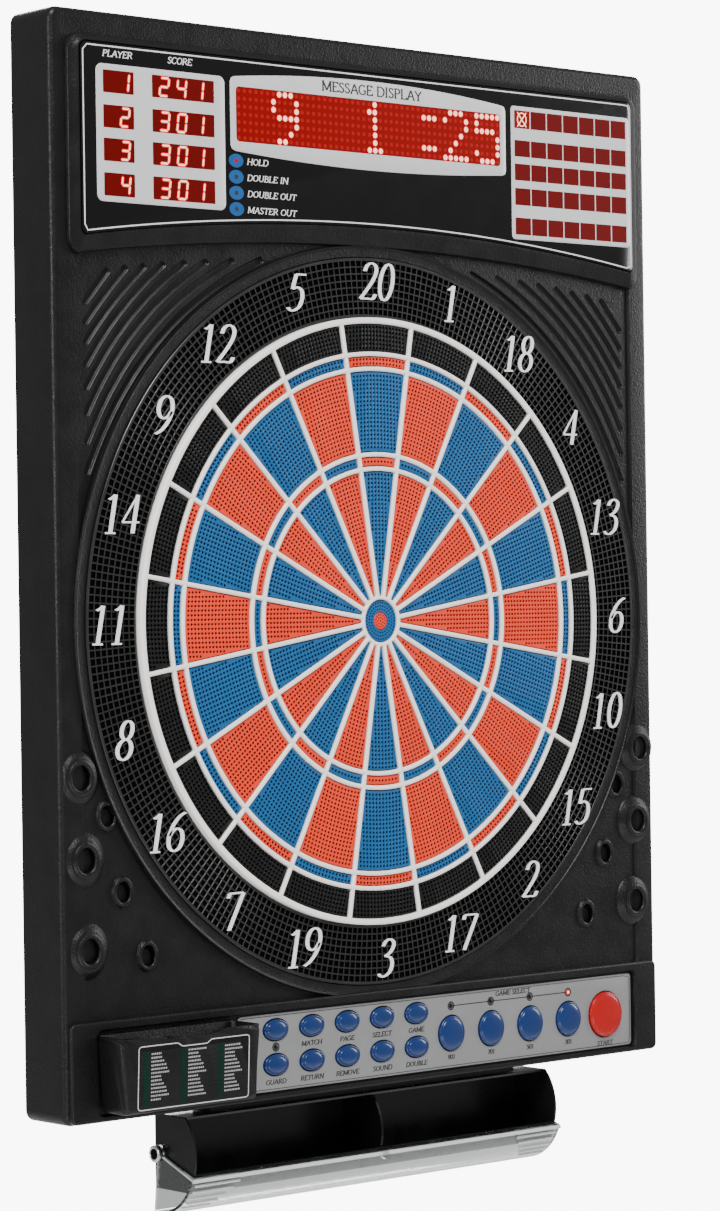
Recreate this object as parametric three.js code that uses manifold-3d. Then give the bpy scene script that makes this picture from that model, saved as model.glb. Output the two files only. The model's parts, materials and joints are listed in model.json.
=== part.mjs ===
// Wall-hung electronic dartboard with a soft-tip target, a score display, a control panel,
// slanted dart holders, a storage pocket and a storage tray with a hinged clear cover.
//
// Everything is drawn in face coordinates, in millimetres: x to the right, y up and z forward
// from the wall, with the bull's centre at x = 0, y = 0. The exported group turns them into the
// part's own frame: +X right, +Z up, and the front facing -Y, with the wall at Y = 0.
import * as THREE from "three";
import { mergeVertices } from "three/addons/utils/BufferGeometryUtils.js";
import Module from "manifold-3d";

const wasm = await Module();
wasm.setup();

// ---------- driving dimensions ----------
const GAP = 0.35; // between pieces that rest on or slide past each other
const DEG = Math.PI / 180;

// heights forward of the wall
const SPIDER_FACE = 53;
const SPIDER_BACK = 47;
const SEGMENT_FACE = 51.4;
const CARRIER_FRONT = SPIDER_BACK - 0.4;
const CARRIER_BACK = CARRIER_FRONT - 2;
const SEGMENT_TRAVEL = 1.0;
const MAT_FRONT = CARRIER_BACK - SEGMENT_TRAVEL - 0.4;
const MAT_THICK = 2;
const MEMBRANE_THICK = 0.5;
const BOARD_THICK = 6;
const RING_FACE = 48;
const BORDER_FACE = 46;
const FLOOR_FACE = 44;
const SHELL_INSIDE = 41;
const PODIUM_EDGE = 49.5;
const LABEL_FACE = 52.4;
const BLOCK_FACE = 50;
const PLATE_FACE = 47.5;

// cabinet outline
const HALF_WIDTH = 290.5;
const TOP = 427;
const BOTTOM = -343.5;
const WALL = 3;
const CORNER = 8;
const BACK_COVER_THICK = 3;
const RECESS = { half: 270, low: -280, high: 268, corner: 10 };
const BLOCK = { half: 287, high: -272.5, corner: 4, chamfer: 1.5 };
const PLATE = { left: -138, right: 260.5, low: -336.8, high: -281, corner: 3, thick: 1.2 };
const PLATE_SEAT = { left: -265, right: 263.5, low: -339.3, high: -278.5, corner: 5 };

// target
const SECTORS = 20;
const SECTOR_ANGLE = 360 / SECTORS;
const ARC_STEPS = 40; // facets in a full turn, with a corner on every spoke
const NUMBERS = [20, 1, 18, 4, 13, 6, 10, 15, 2, 17, 3, 19, 7, 16, 8, 11, 14, 9, 12, 5];
const RIB = 3.8;
const OUTER_RING = { radius: 221.6, width: 5 };
const RINGS = [
  OUTER_RING,
  { radius: 197, width: RIB },
  { radius: 186, width: RIB },
  { radius: 123, width: RIB },
  { radius: 112.4, width: RIB },
  { radius: 17.3, width: 3.3 },
];
const PAD_GAP = 0.4;
const INNER_BULL_RADIUS = 6.3;
const NUMBER_RING_RADIUS = 268;
const LEDGE_RADIUS = 262;
const RIM_RADIUS = 274.6;

// dart holders: the mouths on one side, mirrored on the other; broad ones stand on a cone
const HOLDER_BORE = 5.25;
const HOLDER_TILT = 45;
const HOLDER_LENGTH = 50;
const HOLDER_COLLAR = 8.3;
const HOLDER_TUBE = 7.3;
const HOLDER_CONE = { foot: 19.5, top: 14.5, footZ: 44.5, topZ: 48.6 };
const HOLDERS = [
  { x: 274, y: -104, broad: true },
  { x: 250, y: -131.5, broad: false },
  { x: 270.5, y: -161, broad: true },
  { x: 237, y: -185, broad: false },
  { x: 268, y: -224, broad: true },
  { x: 216, y: -231, broad: false },
];

// grooves of the upper corners: lower ends on one line, upper ends along the display's edge
const GROOVE_X = 261.7;
const GROOVE_WIDTH = 4.4;
const GROOVE_DEPTH = 2;
const GROOVES = [
  { low: 225, x: 242.3, y: 247 },
  { low: 211, x: 226.5, y: 249.7 },
  { low: 197, x: 210, y: 251.6 },
  { low: 181.5, x: 193, y: 253.9 },
  { low: 165.3, x: 174, y: 255.8 },
  { low: 147.6, x: 154.4, y: 257.6 },
  { low: 128.2, x: 130.3, y: 259.5 },
  { low: 107, x: 104, y: 261.3 },
];

// controls
const BUTTON_TRAVEL = 1.2;
const SMALL_COLUMNS = [-103, -68.9, -34.8, -0.7, 33.4];
const SMALL_ROWS = [-292.7, -317.8];
const ROUND_COLUMNS = [68.5, 109.5, 150.5, 191.5];
const ROUND_ROW = -310.8;
const LAMP_ROW = -290.3;
const SMALL_BUTTON = { rx: 11.2, ry: 8.1, rise: 3 };
const ROUND_BUTTON = { rx: 13.4, ry: 13.4, rise: 3.2 };
const START_BUTTON = { rx: 18, ry: 18, rise: 3.8 };
const START_X = 231.5;
const LAMP_RADIUS = 2.2;
const STEM_RADIUS = 2.5;
const STEM_END = 33.4;
const CONTROL_BOARD = { left: -128, right: 256, low: -334, high: -284, back: 28, thick: 1.6 };

// display: fields of the board behind the label
const DISPLAY_BOARD = { half: 258, low: 296, high: 396, back: 40, thick: 1.6 };
const DIGIT_FRONT = 49.8;
const DIGIT_ROWS = [377.2, 353.4, 329.6, 305.8];
const DIGIT_HALF_HEIGHT = 9.5;
const PLAYER_FIELD = { left: -250, right: -219 };
const SCORE_FIELD = { left: -207, right: -147 };
const MESSAGE_FIELD = { left: -131, right: 132, low: 342.5, high: 385 };
const MARK_FIELD = { left: 143, right: 258, low: 296.5, high: 390 };

// electronics and the rear
const MAIN_BOARD = { half: 75, low: -70, high: 40, depth: 8, thick: 1.6 };
const CABLE_HALF = 15;
const SPEAKER = { x: -238, y: 205 };
const JACK = { x: 220, z: 20, halfWidth: 6.5, halfHeight: 5.5, depth: 14, bore: 3.3, pin: 0.8 };
const SCREW_HOLE = 1.8;
const SCREW_BOSS = 4.5;
const SCREWS = [
  [-279, 415],
  [0, 415],
  [279, 415],
  [-279, 60],
  [279, 60],
  [-279, -331],
  [279, -331],
];
const KEYHOLE = { head: 6, slot: 2.75, rise: 14 };
const KEYHOLES = [
  [-200, 360],
  [200, 360],
];

// storage pocket, open at its top and narrower at its bottom
const POCKET = {
  left: -264.3, right: -141, low: -335.6, high: -282.5, back: 46.3, front: 78.5, corner: 4.5, wall: 2.2,
};

// storage tray
const PIVOT = { y: -377.5, z: 7 };
const TRAY_HALF = 178;
const TRAY_RADIUS = 40.5;
const TRAY_TOP = 28.1;
const TRAY_FLOOR = -25.1;
const TRAY_WALL = 1.6;
const LIP_ANGLE = -17;
const COVER = { inner: 41.3, outer: 43.3, from: -96, to: -19, end: 2.2 };
const TONGUE = { half: 150, back: 8, front: 30 };
const PIVOT_PIN = { shank: 2.5, cap: 6.3, capLength: 3.2 };

// ---------- solids ----------
// A closed solid from a three.js geometry.
function solid(geometry) {
  const bare = geometry.index ? geometry.toNonIndexed() : geometry.clone();
  for (const name of Object.keys(bare.attributes)) {
    if (name !== "position") bare.deleteAttribute(name);
  }
  const merged = mergeVertices(bare, 1e-4);
  return new wasm.Manifold(
    new wasm.Mesh({
      numProp: 3,
      vertProperties: merged.attributes.position.array,
      triVerts: new Uint32Array(merged.index.array),
    }),
  );
}

// The three.js geometry of a solid.
function geometryOf(body) {
  const mesh = body.getMesh();
  const points = new Float32Array(mesh.numVert * 3);
  for (let i = 0; i < mesh.numVert; i++) {
    const from = i * mesh.numProp;
    points.set(mesh.vertProperties.subarray(from, from + 3), i * 3);
  }
  const geometry = new THREE.BufferGeometry();
  geometry.setAttribute("position", new THREE.BufferAttribute(points, 3));
  geometry.setIndex(new THREE.BufferAttribute(mesh.triVerts, 1));
  geometry.computeVertexNormals();
  return geometry;
}

const join = (bodies) => bodies.reduce((sum, body) => sum.add(body));
const cut = (body, tools) => body.subtract(join(tools));

// A prism of an outline in the face plane, from one height to another.
function prism(points, low, high, holes = []) {
  const shape = new THREE.Shape(points);
  shape.holes = holes.map((hole) => new THREE.Path(hole));
  const geometry = new THREE.ExtrudeGeometry(shape, { depth: high - low, bevelEnabled: false });
  return solid(geometry.translate(0, 0, low));
}

// A prism along x of an outline given as [z, y] points.
function beam(points, left, right) {
  const outline = points.map(([z, y]) => new THREE.Vector2(-z, y));
  const geometry = new THREE.ExtrudeGeometry(new THREE.Shape(outline), {
    depth: right - left,
    bevelEnabled: false,
  });
  return solid(geometry.rotateY(Math.PI / 2).translate(left, 0, 0));
}

// A box between two corners.
function box(x0, x1, y0, y1, z0, z1) {
  const geometry = new THREE.BoxGeometry(x1 - x0, y1 - y0, z1 - z0);
  return solid(geometry.translate((x0 + x1) / 2, (y0 + y1) / 2, (z0 + z1) / 2));
}

// Points round an ellipse, anticlockwise.
function ellipse(cx, cy, rx, ry, steps, start = 0) {
  return Array.from({ length: steps }, (_, i) => {
    const a = start + (i / steps) * 2 * Math.PI;
    return new THREE.Vector2(cx + rx * Math.cos(a), cy + ry * Math.sin(a));
  });
}

const disc = (cx, cy, r, z0, z1, steps = 12) => prism(ellipse(cx, cy, r, r, steps), z0, z1);
const ring = (r0, r1, z0, z1, steps = ARC_STEPS) =>
  prism(ellipse(0, 0, r1, r1, steps, 9 * DEG), z0, z1, [ellipse(0, 0, r0, r0, steps, 9 * DEG)]);

// A solid of revolution about an axis along z through (cx, cy), from [radius, z] points.
function turned(profile, steps, cx = 0, cy = 0, scaleX = 1) {
  const points = profile.map(([r, z]) => new THREE.Vector2(r, z));
  const geometry = new THREE.LatheGeometry(points, steps);
  geometry.rotateX(Math.PI / 2).scale(scaleX, 1, 1).translate(cx, cy, 0);
  return solid(geometry);
}

// A rectangle with round corners, each corner in the given number of steps.
function roundRect(x0, x1, y0, y1, r, steps = 3) {
  const corners = [
    [x1 - r, y0 + r, -90],
    [x1 - r, y1 - r, 0],
    [x0 + r, y1 - r, 90],
    [x0 + r, y0 + r, 180],
  ];
  return corners.flatMap(([cx, cy, from]) =>
    Array.from({ length: steps + 1 }, (_, i) => {
      const a = (from + (90 * i) / steps) * DEG;
      return new THREE.Vector2(cx + r * Math.cos(a), cy + r * Math.sin(a));
    }),
  );
}

// An outline moved inwards by a distance, corner by corner.
function inset(points, distance) {
  return points.map((point, i) => {
    const before = points[(i + points.length - 1) % points.length];
    const after = points[(i + 1) % points.length];
    const a = point.clone().sub(before).normalize();
    const b = after.clone().sub(point).normalize();
    const inwards = new THREE.Vector2(-a.y - b.y, a.x + b.x).normalize();
    const stretch = distance / Math.max(0.3, inwards.dot(new THREE.Vector2(-a.y, a.x)));
    return point.clone().addScaledVector(inwards, stretch);
  });
}

// A closed skin through layers of one outline, each layer moved inwards and set at its height.
function layeredSkin(points, layers) {
  const rows = layers.map(([distance, z]) => inset(points, distance).map((p) => [p.x, p.y, z]));
  const count = points.length;
  const positions = rows.flat(2);
  const index = [];
  for (let row = 0; row + 1 < rows.length; row++) {
    for (let i = 0; i < count; i++) {
      const a = row * count + i;
      const b = row * count + ((i + 1) % count);
      index.push(a, b, b + count, a, b + count, a + count);
    }
  }
  const last = (rows.length - 1) * count;
  const first = THREE.ShapeUtils.triangulateShape(inset(points, layers[0][0]), []);
  const top = THREE.ShapeUtils.triangulateShape(inset(points, layers.at(-1)[0]), []);
  for (const [a, b, c] of first) index.push(a, c, b);
  for (const [a, b, c] of top) index.push(last + a, last + b, last + c);
  const geometry = new THREE.BufferGeometry();
  geometry.setAttribute("position", new THREE.Float32BufferAttribute(positions, 3));
  geometry.setIndex(index);
  return geometry;
}

const layered = (points, layers) => solid(layeredSkin(points, layers));

// ---------- materials ----------
const paint = (color, roughness, metalness = 0) =>
  new THREE.MeshStandardMaterial({ color, roughness, metalness });
const blackCase = paint(0x1c1c1e, 0.6);
const blackRing = paint(0x101012, 0.5);
const whiteWeb = paint(0xf0eee8, 0.45);
const blueSegment = paint(0x2a6ea3, 0.5);
const redSegment = paint(0xe0523f, 0.5);
const blackSegment = paint(0x0c0c0d, 0.5);
const greyRubber = paint(0x55565a, 0.9);
const film = paint(0xb9c4b0, 0.3);
const boardWood = paint(0x7c5b3c, 0.85);
const circuit = paint(0x1f5a34, 0.5);
const gloss = paint(0x0a0a0c, 0.12);
const silver = paint(0xb9bcc0, 0.35, 0.4);
const blueButton = paint(0x1f4c8f, 0.35);
const redButton = paint(0xc8302c, 0.35);
const clear = new THREE.MeshStandardMaterial({
  color: 0xe8ecee,
  roughness: 0.08,
  transparent: true,
  opacity: 0.35,
});
const steel = paint(0xc9cbce, 0.25, 0.9);

const face = new THREE.Group();
face.rotation.x = Math.PI / 2;

function part(name, body, material) {
  const mesh = new THREE.Mesh(geometryOf(body), material);
  mesh.name = name;
  face.add(mesh);
  return mesh;
}

// ---------- target ----------
// Radius of a faceted circle at an angle, in degrees from one of its corners.
function facetRadius(radius, angle) {
  const step = 360 / ARC_STEPS;
  const within = ((angle % step) + step) % step;
  return (radius * Math.cos((step / 2) * DEG)) / Math.cos((within - step / 2) * DEG);
}

// Outline of a block between two circles and the two edges of a sector, each edge moved in by
// side. The sector's middle points at `centre` degrees, clockwise from the top.
function sectorOutline(inner, outer, side, centre) {
  const half = SECTOR_ANGLE / 2;
  const at = (radius, angle) => {
    const r = facetRadius(radius, angle);
    const a = (90 - centre - angle) * DEG;
    return new THREE.Vector2(r * Math.cos(a), r * Math.sin(a));
  };
  const edge = (radius) => half - Math.asin(side / radius) / DEG;
  return [
    at(outer, edge(outer)),
    at(outer, 0),
    at(outer, -edge(outer)),
    at(inner, -edge(inner)),
    at(inner, 0),
    at(inner, edge(inner)),
  ];
}

const ribInside = (rib) => rib.radius - rib.width / 2 - PAD_GAP;
const ribOutside = (rib) => rib.radius + rib.width / 2 + PAD_GAP;
const SIDE = RIB / 2 + PAD_GAP;

// The white web in front of the segments: a disc with a window for each segment, and a skirt
// behind its outer ring that stands on the backing board.
function spider() {
  const inside = (rib) => rib.radius - rib.width / 2;
  const outside = (rib) => rib.radius + rib.width / 2;
  const windows = NUMBERS.flatMap((_, i) =>
    RINGS.slice(1).map((rib, k) =>
      sectorOutline(outside(rib), inside(RINGS[k]), RIB / 2, i * SECTOR_ANGLE),
    ),
  );
  const circle = (radius, steps) => ellipse(0, 0, radius, radius, steps, 9 * DEG);
  windows.push(circle(inside(RINGS[5]), 20));
  const web = prism(circle(outside(OUTER_RING), ARC_STEPS), SPIDER_BACK, SPIDER_FACE, windows);
  const skirtBack = MAT_FRONT - MAT_THICK - MEMBRANE_THICK - 0.3;
  const skirt = ring(
    inside(OUTER_RING) + 0.7,
    outside(OUTER_RING) - 0.7,
    skirtBack,
    SPIDER_BACK + 1,
  );
  part("spider", web.add(skirt), whiteWeb);
}

// The four scoring segments of one number, on the thin carrier that holds them behind the web.
function sector(number, i) {
  const centre = i * SECTOR_ANGLE;
  const [, doubleOut, doubleIn, trebleOut, trebleIn, bull] = RINGS;
  const spans = [
    [ribOutside(bull), ribInside(trebleIn)],
    [ribOutside(trebleIn), ribInside(trebleOut)],
    [ribOutside(trebleOut), ribInside(doubleIn)],
    [ribOutside(doubleIn), ribInside(doubleOut)],
  ];
  const pads = spans.map(([inner, outer]) =>
    prism(sectorOutline(inner, outer, SIDE, centre), CARRIER_BACK + 0.5, SEGMENT_FACE),
  );
  const carrier = prism(
    sectorOutline(ribOutside(bull), doubleOut.radius + 1.4, 0.25, centre),
    CARRIER_BACK,
    CARRIER_FRONT,
  );
  const name = "sector_" + String(number).padStart(2, "0");
  part(name, join([carrier, ...pads]), i % 2 ? redSegment : blueSegment);
}

// The black segments outside the doubles, which score nothing: one fixed piece.
function missRing() {
  const inner = ribOutside(RINGS[1]);
  const outer = ribInside(OUTER_RING);
  const base = ring(inner, outer, CARRIER_BACK, CARRIER_FRONT);
  const pads = NUMBERS.map((_, i) =>
    prism(sectorOutline(inner, outer, SIDE, i * SECTOR_ANGLE), CARRIER_BACK + 0.5, SEGMENT_FACE),
  );
  part("miss_ring", join([base, ...pads]), blackSegment);
}

// The two bull segments: the inner one is held by a thin flange in a counterbore of the outer
// one, deep enough for either to move alone.
function bulls() {
  const inside = RINGS[5].radius - RINGS[5].width / 2 - PAD_GAP;
  const hole = INNER_BULL_RADIUS + PAD_GAP;
  const seat = INNER_BULL_RADIUS + 2.6;
  const flangeFront = CARRIER_BACK + 0.8;
  const outer = [
    [seat, CARRIER_BACK],
    [RINGS[5].radius + 1, CARRIER_BACK],
    [RINGS[5].radius + 1, CARRIER_FRONT],
    [inside, CARRIER_FRONT],
    [inside, SEGMENT_FACE],
    [hole, SEGMENT_FACE],
    [hole, flangeFront + SEGMENT_TRAVEL + GAP],
    [seat, flangeFront + SEGMENT_TRAVEL + GAP],
    [seat, CARRIER_BACK],
  ];
  const inner = [
    [0, CARRIER_BACK],
    [seat - PAD_GAP, CARRIER_BACK],
    [seat - PAD_GAP, flangeFront],
    [INNER_BULL_RADIUS, flangeFront],
    [INNER_BULL_RADIUS, SEGMENT_FACE],
    [0, SEGMENT_FACE],
  ];
  part("outer_bull", turned(outer, SECTORS), blueSegment);
  part("inner_bull", turned(inner, SECTORS), redSegment);
}

// Flat ring that carries the numbers and catches missed darts.
function numberRing() {
  const inner = OUTER_RING.radius + OUTER_RING.width / 2 + 0.5;
  part("number_ring", ring(inner, NUMBER_RING_RADIUS, RING_FACE - 2.5, RING_FACE), blackRing);
}

// Rubber mat, contact film and the stiff board that take the blow behind the segments.
function targetStack() {
  const radius = OUTER_RING.radius - OUTER_RING.width / 2 - 2;
  const matBack = MAT_FRONT - MAT_THICK;
  const filmFront = matBack - 0.15;
  const filmBack = filmFront - MEMBRANE_THICK;
  const boardFront = filmBack - GAP;
  const slot = box(-CABLE_HALF - 2, CABLE_HALF + 2, -236, -228, 0, 60);
  part("rubber_mat", disc(0, 0, radius, matBack, MAT_FRONT, ARC_STEPS), greyRubber);
  part("contact_film", disc(0, 0, radius, filmBack, filmFront, ARC_STEPS), film);
  const board = disc(0, 0, NUMBER_RING_RADIUS - 2, boardFront - BOARD_THICK, boardFront, ARC_STEPS);
  part("backing_board", cut(board, [slot]), boardWood);
  return boardFront - BOARD_THICK;
}

// ---------- cabinet ----------
// Outline of the raised display field, whose lower edge is a shallow arch.
function displayOutline(half, top, ends, middle, corner) {
  const rise = middle - ends;
  const radius = (half * half + rise * rise) / (2 * rise);
  const spread = Math.asin((half - corner) / radius);
  const steps = 12;
  const arch = Array.from({ length: steps + 1 }, (_, i) => {
    const a = -spread + (2 * spread * i) / steps;
    return new THREE.Vector2(radius * Math.sin(a), middle - radius * (1 - Math.cos(a)));
  });
  const lift = ends + corner;
  const sides = [
    new THREE.Vector2(half - corner * 0.3, ends + corner * 0.35),
    new THREE.Vector2(half, lift),
    new THREE.Vector2(half, top - corner),
    new THREE.Vector2(half - corner * 0.3, top - corner * 0.3),
    new THREE.Vector2(half - corner, top),
  ];
  const mirrored = sides.map((p) => new THREE.Vector2(-p.x, p.y)).reverse();
  return [...arch, ...sides, ...mirrored];
}

// Outline of one groove: an arc between two points, with round ends.
function grooveOutline(low, high, bulge) {
  const steps = 4;
  const a = new THREE.Vector2(...low);
  const b = new THREE.Vector2(...high);
  const along = b.clone().sub(a);
  const outward = new THREE.Vector2(along.y, -along.x).normalize();
  if (outward.dot(a) < 0) outward.negate();
  const middle = (t) => a.clone().addScaledVector(along, t)
    .addScaledVector(outward, 4 * bulge * along.length() * t * (1 - t));
  const tangent = (t) => middle(t + 0.01).sub(middle(t - 0.01)).normalize();
  const side = (t, sign) => {
    const d = tangent(t);
    return middle(t).addScaledVector(new THREE.Vector2(-d.y, d.x), (sign * GROOVE_WIDTH) / 2);
  };
  const ts = Array.from({ length: steps + 1 }, (_, i) => i / steps);
  const tip = (t, sign) => middle(t).addScaledVector(tangent(t), (sign * GROOVE_WIDTH) / 2);
  const points = [
    ...ts.map((t) => side(t, -1)),
    tip(1, 1),
    ...ts.reverse().map((t) => side(t, 1)),
    tip(0, -1),
  ];
  return THREE.ShapeUtils.area(points) < 0 ? points.reverse() : points;
}

// A rod along a dart holder's tilted axis, from a depth inside the mouth to a height outside it.
function holderRod({ x, y }, side, radius, inside, outside) {
  const rod = new THREE.CylinderGeometry(radius, radius, inside + outside, 12);
  rod.translate(0, (outside - inside) / 2, 0);
  rod.rotateX((90 - HOLDER_TILT) * DEG);
  return solid(rod.translate(side * x, y, FLOOR_FACE));
}

function holderBodies(holder, side) {
  const mouth = holder.broad ? FLOOR_FACE + 6.5 : FLOOR_FACE + 3.5;
  const front = box(-400, 400, -400, 400, mouth, 200);
  const behind = box(-400, 400, -400, 400, 0, SHELL_INSIDE);
  const collar = holderRod(holder, side, HOLDER_COLLAR, 8, 14);
  const tube = holderRod(holder, side, HOLDER_TUBE, HOLDER_LENGTH, 2);
  const bodies = [cut(collar, [front, behind]), tube];
  if (holder.broad) {
    const cone = [
      [0, SHELL_INSIDE],
      [HOLDER_CONE.foot, SHELL_INSIDE],
      [HOLDER_CONE.foot, HOLDER_CONE.footZ],
      [HOLDER_CONE.top, HOLDER_CONE.topZ],
      [0, HOLDER_CONE.topZ],
    ];
    const base = turned(cone, 16, side * holder.x, holder.y);
    const cabinet = box(1.5 - HALF_WIDTH, HALF_WIDTH - 1.5, BOTTOM, 0, 0, 60);
    bodies.push(base.intersect(cabinet));
  }
  return bodies;
}

const holderBore = (holder, side) =>
  holderRod(holder, side, HOLDER_BORE, HOLDER_LENGTH - 2.5, 16);

const LABEL_OUTLINE = displayOutline(269.3, 403.5, 270.5, 290.5, 5);

function housing() {
  const outline = roundRect(-HALF_WIDTH, HALF_WIDTH, BOTTOM, TOP, CORNER);
  const shell = layered(outline, [
    [0, 0],
    [0, BORDER_FACE - 3],
    [1, BORDER_FACE - 1],
    [3.2, BORDER_FACE],
  ]);
  const inside = prism(inset(outline, WALL), -1, SHELL_INSIDE);
  const { half, low, high, corner } = RECESS;
  const middle = prism(roundRect(-half, half, low, high, corner), FLOOR_FACE, 60);
  const podiumOutline = displayOutline(278, 409.5, 257, 276, 11);
  const podium = layered(podiumOutline, [
    [0, SHELL_INSIDE - 1],
    [0, PODIUM_EDGE],
    [8.3, LABEL_FACE - 0.3],
  ]);
  const blockOutline = roundRect(-BLOCK.half, BLOCK.half, BOTTOM + 1, BLOCK.high, BLOCK.corner, 2);
  const block = layered(blockOutline, [
    [0, SHELL_INSIDE],
    [0, BLOCK_FACE - BLOCK.chamfer],
    [BLOCK.chamfer, BLOCK_FACE],
  ]);
  const rimProfile = [
    [LEDGE_RADIUS, SHELL_INSIDE],
    [RIM_RADIUS + 3, SHELL_INSIDE],
    [RIM_RADIUS + 2.4, RING_FACE + 1],
    [RIM_RADIUS, RING_FACE + 1.5],
    [NUMBER_RING_RADIUS + 0.4, RING_FACE - 0.5],
    [NUMBER_RING_RADIUS + 0.4, RING_FACE - 2.8],
    [LEDGE_RADIUS, RING_FACE - 2.8],
    [LEDGE_RADIUS, SHELL_INSIDE],
  ];
  const rim = turned(rimProfile, ARC_STEPS);
  const targetHole = disc(0, 0, NUMBER_RING_RADIUS + 0.4, -1, 60, ARC_STEPS);

  const hollowPodium = prism(roundRect(-262, 262, 294, 398, 3, 1), -1, LABEL_FACE - 2.2);
  const labelSeat = prism(inset(LABEL_OUTLINE, -GAP), LABEL_FACE - 2.3, 60);
  const plateSeat = prism(plateOutline(PLATE_SEAT), PLATE_FACE - PLATE.thick - 0.3, 60);
  const sides = [-1, 1];
  const grooves = sides.flatMap((side) =>
    GROOVES.map(({ low, x, y }, i) => {
      const bulge = (0.102 * i) / (GROOVES.length - 1);
      const outline = grooveOutline([side * GROOVE_X, low], [side * x, y], bulge);
      return prism(outline, FLOOR_FACE - GROOVE_DEPTH, FLOOR_FACE + 1);
    }),
  );
  const buttonHoles = controls.map(({ x, y, kind: { rx, ry } }) =>
    box(x - rx - 2.5, x + rx + 2.5, y - ry - 2.2, y + ry + 2.2, 0, 60),
  );
  const jackHole = jackBox(0.5, BOTTOM - 1, BOTTOM + JACK.depth + 6);
  const holders = sides.flatMap((side) => HOLDERS.flatMap((h) => holderBodies(h, side)));
  const bores = sides.flatMap((side) => HOLDERS.map((h) => holderBore(h, side)));
  const bossBack = BACK_COVER_THICK + 0.4;
  const bosses = SCREWS.map(([x, y]) => disc(x, y, SCREW_BOSS, bossBack, SHELL_INSIDE + 0.5));

  let body = cut(shell, [inside, middle]);
  body = join([body, podium, block, ...bosses]);
  body = body.subtract(targetHole);
  body = body.add(rim);
  body = cut(body, [hollowPodium, labelSeat, plateSeat, ...grooves, ...buttonHoles, jackHole]);
  body = cut(join([body, ...holders]), bores);
  part("front_housing", body, blackCase);
}

// Rear cover, let into the housing, with two keyholes for the wall screws.
function backCover() {
  const outline = roundRect(
    -HALF_WIDTH + WALL + GAP,
    HALF_WIDTH - WALL - GAP,
    BOTTOM + WALL + GAP,
    TOP - WALL - GAP,
    CORNER - WALL,
  );
  const keyholes = KEYHOLES.flatMap(([x, y]) => [
    disc(x, y, KEYHOLE.head, -1, 5),
    box(x - KEYHOLE.slot, x + KEYHOLE.slot, y, y + KEYHOLE.rise, -1, 5),
  ]);
  const screwHoles = SCREWS.map(([x, y]) => disc(x, y, SCREW_HOLE, -1, 5, 8));
  const plate = prism(outline, 0, BACK_COVER_THICK);
  part("back_cover", cut(plate, [...keyholes, ...screwHoles]), blackCase);
}

// ---------- display ----------
function display() {
  part("display_label", prism(LABEL_OUTLINE, LABEL_FACE - 2, LABEL_FACE), gloss);
  const { half, low, high, back, thick } = DISPLAY_BOARD;
  const front = back + thick;
  const board = box(-half, half, low, high, back, front);
  const field = (area) => box(area.left, area.right, area.low, area.high, front - 0.6, DIGIT_FRONT);
  const digits = DIGIT_ROWS.flatMap((y) => {
    const row = { low: y - DIGIT_HALF_HEIGHT, high: y + DIGIT_HALF_HEIGHT };
    return [field({ ...PLAYER_FIELD, ...row }), field({ ...SCORE_FIELD, ...row })];
  });
  const body = join([board, ...digits, field(MESSAGE_FIELD), field(MARK_FIELD)]);
  part("display_board", body, circuit);
}

// ---------- controls ----------
const controls = [
  ...SMALL_ROWS.flatMap((y, row) =>
    SMALL_COLUMNS.map((x, column) => ({
      name: `menu_button_${row * SMALL_COLUMNS.length + column + 1}`,
      x,
      y,
      kind: SMALL_BUTTON,
      material: blueButton,
    })),
  ),
  ...ROUND_COLUMNS.map((x, i) => ({
    name: `game_button_${i + 1}`,
    x,
    y: ROUND_ROW,
    kind: ROUND_BUTTON,
    material: blueButton,
  })),
  { name: "start_button", x: START_X, y: ROUND_ROW, kind: START_BUTTON, material: redButton },
];

// A domed cap with a flange behind the panel and a stem that meets its switch.
function button({ name, x, y, kind, material }) {
  const { rx, ry, rise } = kind;
  const top = PLATE_FACE + rise;
  const flangeTop = PLATE_FACE - 1.9;
  const profile = [
    [0, STEM_END],
    [STEM_RADIUS, STEM_END],
    [STEM_RADIUS, flangeTop - 2],
    [ry + 1.5, flangeTop - 2],
    [ry + 1.5, flangeTop],
    [ry, flangeTop],
    [ry, top - 1.4],
    [ry * 0.86, top - 0.3],
    [0, top],
  ];
  part(name, turned(profile, 12, x, y, rx / ry), material);
}

const plateOutline = ({ left, right, low, high, corner }) => roundRect(left, right, low, high, corner);

function controlPanel() {
  const plate = prism(plateOutline(PLATE), PLATE_FACE - PLATE.thick, PLATE_FACE);
  const caps = controls.map(({ x, y, kind }) =>
    prism(ellipse(x, y, kind.rx + 0.7, kind.ry + 0.7, 14), 0, 60),
  );
  const lamps = ROUND_COLUMNS.map((x) => [x, LAMP_ROW]);
  lamps.push([SMALL_COLUMNS[0], (SMALL_ROWS[0] + SMALL_ROWS[1]) / 2]);
  const lampHoles = lamps.map(([x, y]) => disc(x, y, LAMP_RADIUS, 0, 60, 8));
  part("control_panel", cut(plate, [...caps, ...lampHoles]), silver);

  const { left, right, low, high, back, thick } = CONTROL_BOARD;
  const front = back + thick;
  const board = box(left, right, low, high, back, front);
  const switchTop = STEM_END - BUTTON_TRAVEL - 0.3;
  const switches = controls.map(({ x, y }) => box(x - 3, x + 3, y - 3, y + 3, front - 0.6, switchTop));
  part("control_board", join([board, ...switches]), circuit);
  controls.forEach(button);
}

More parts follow.
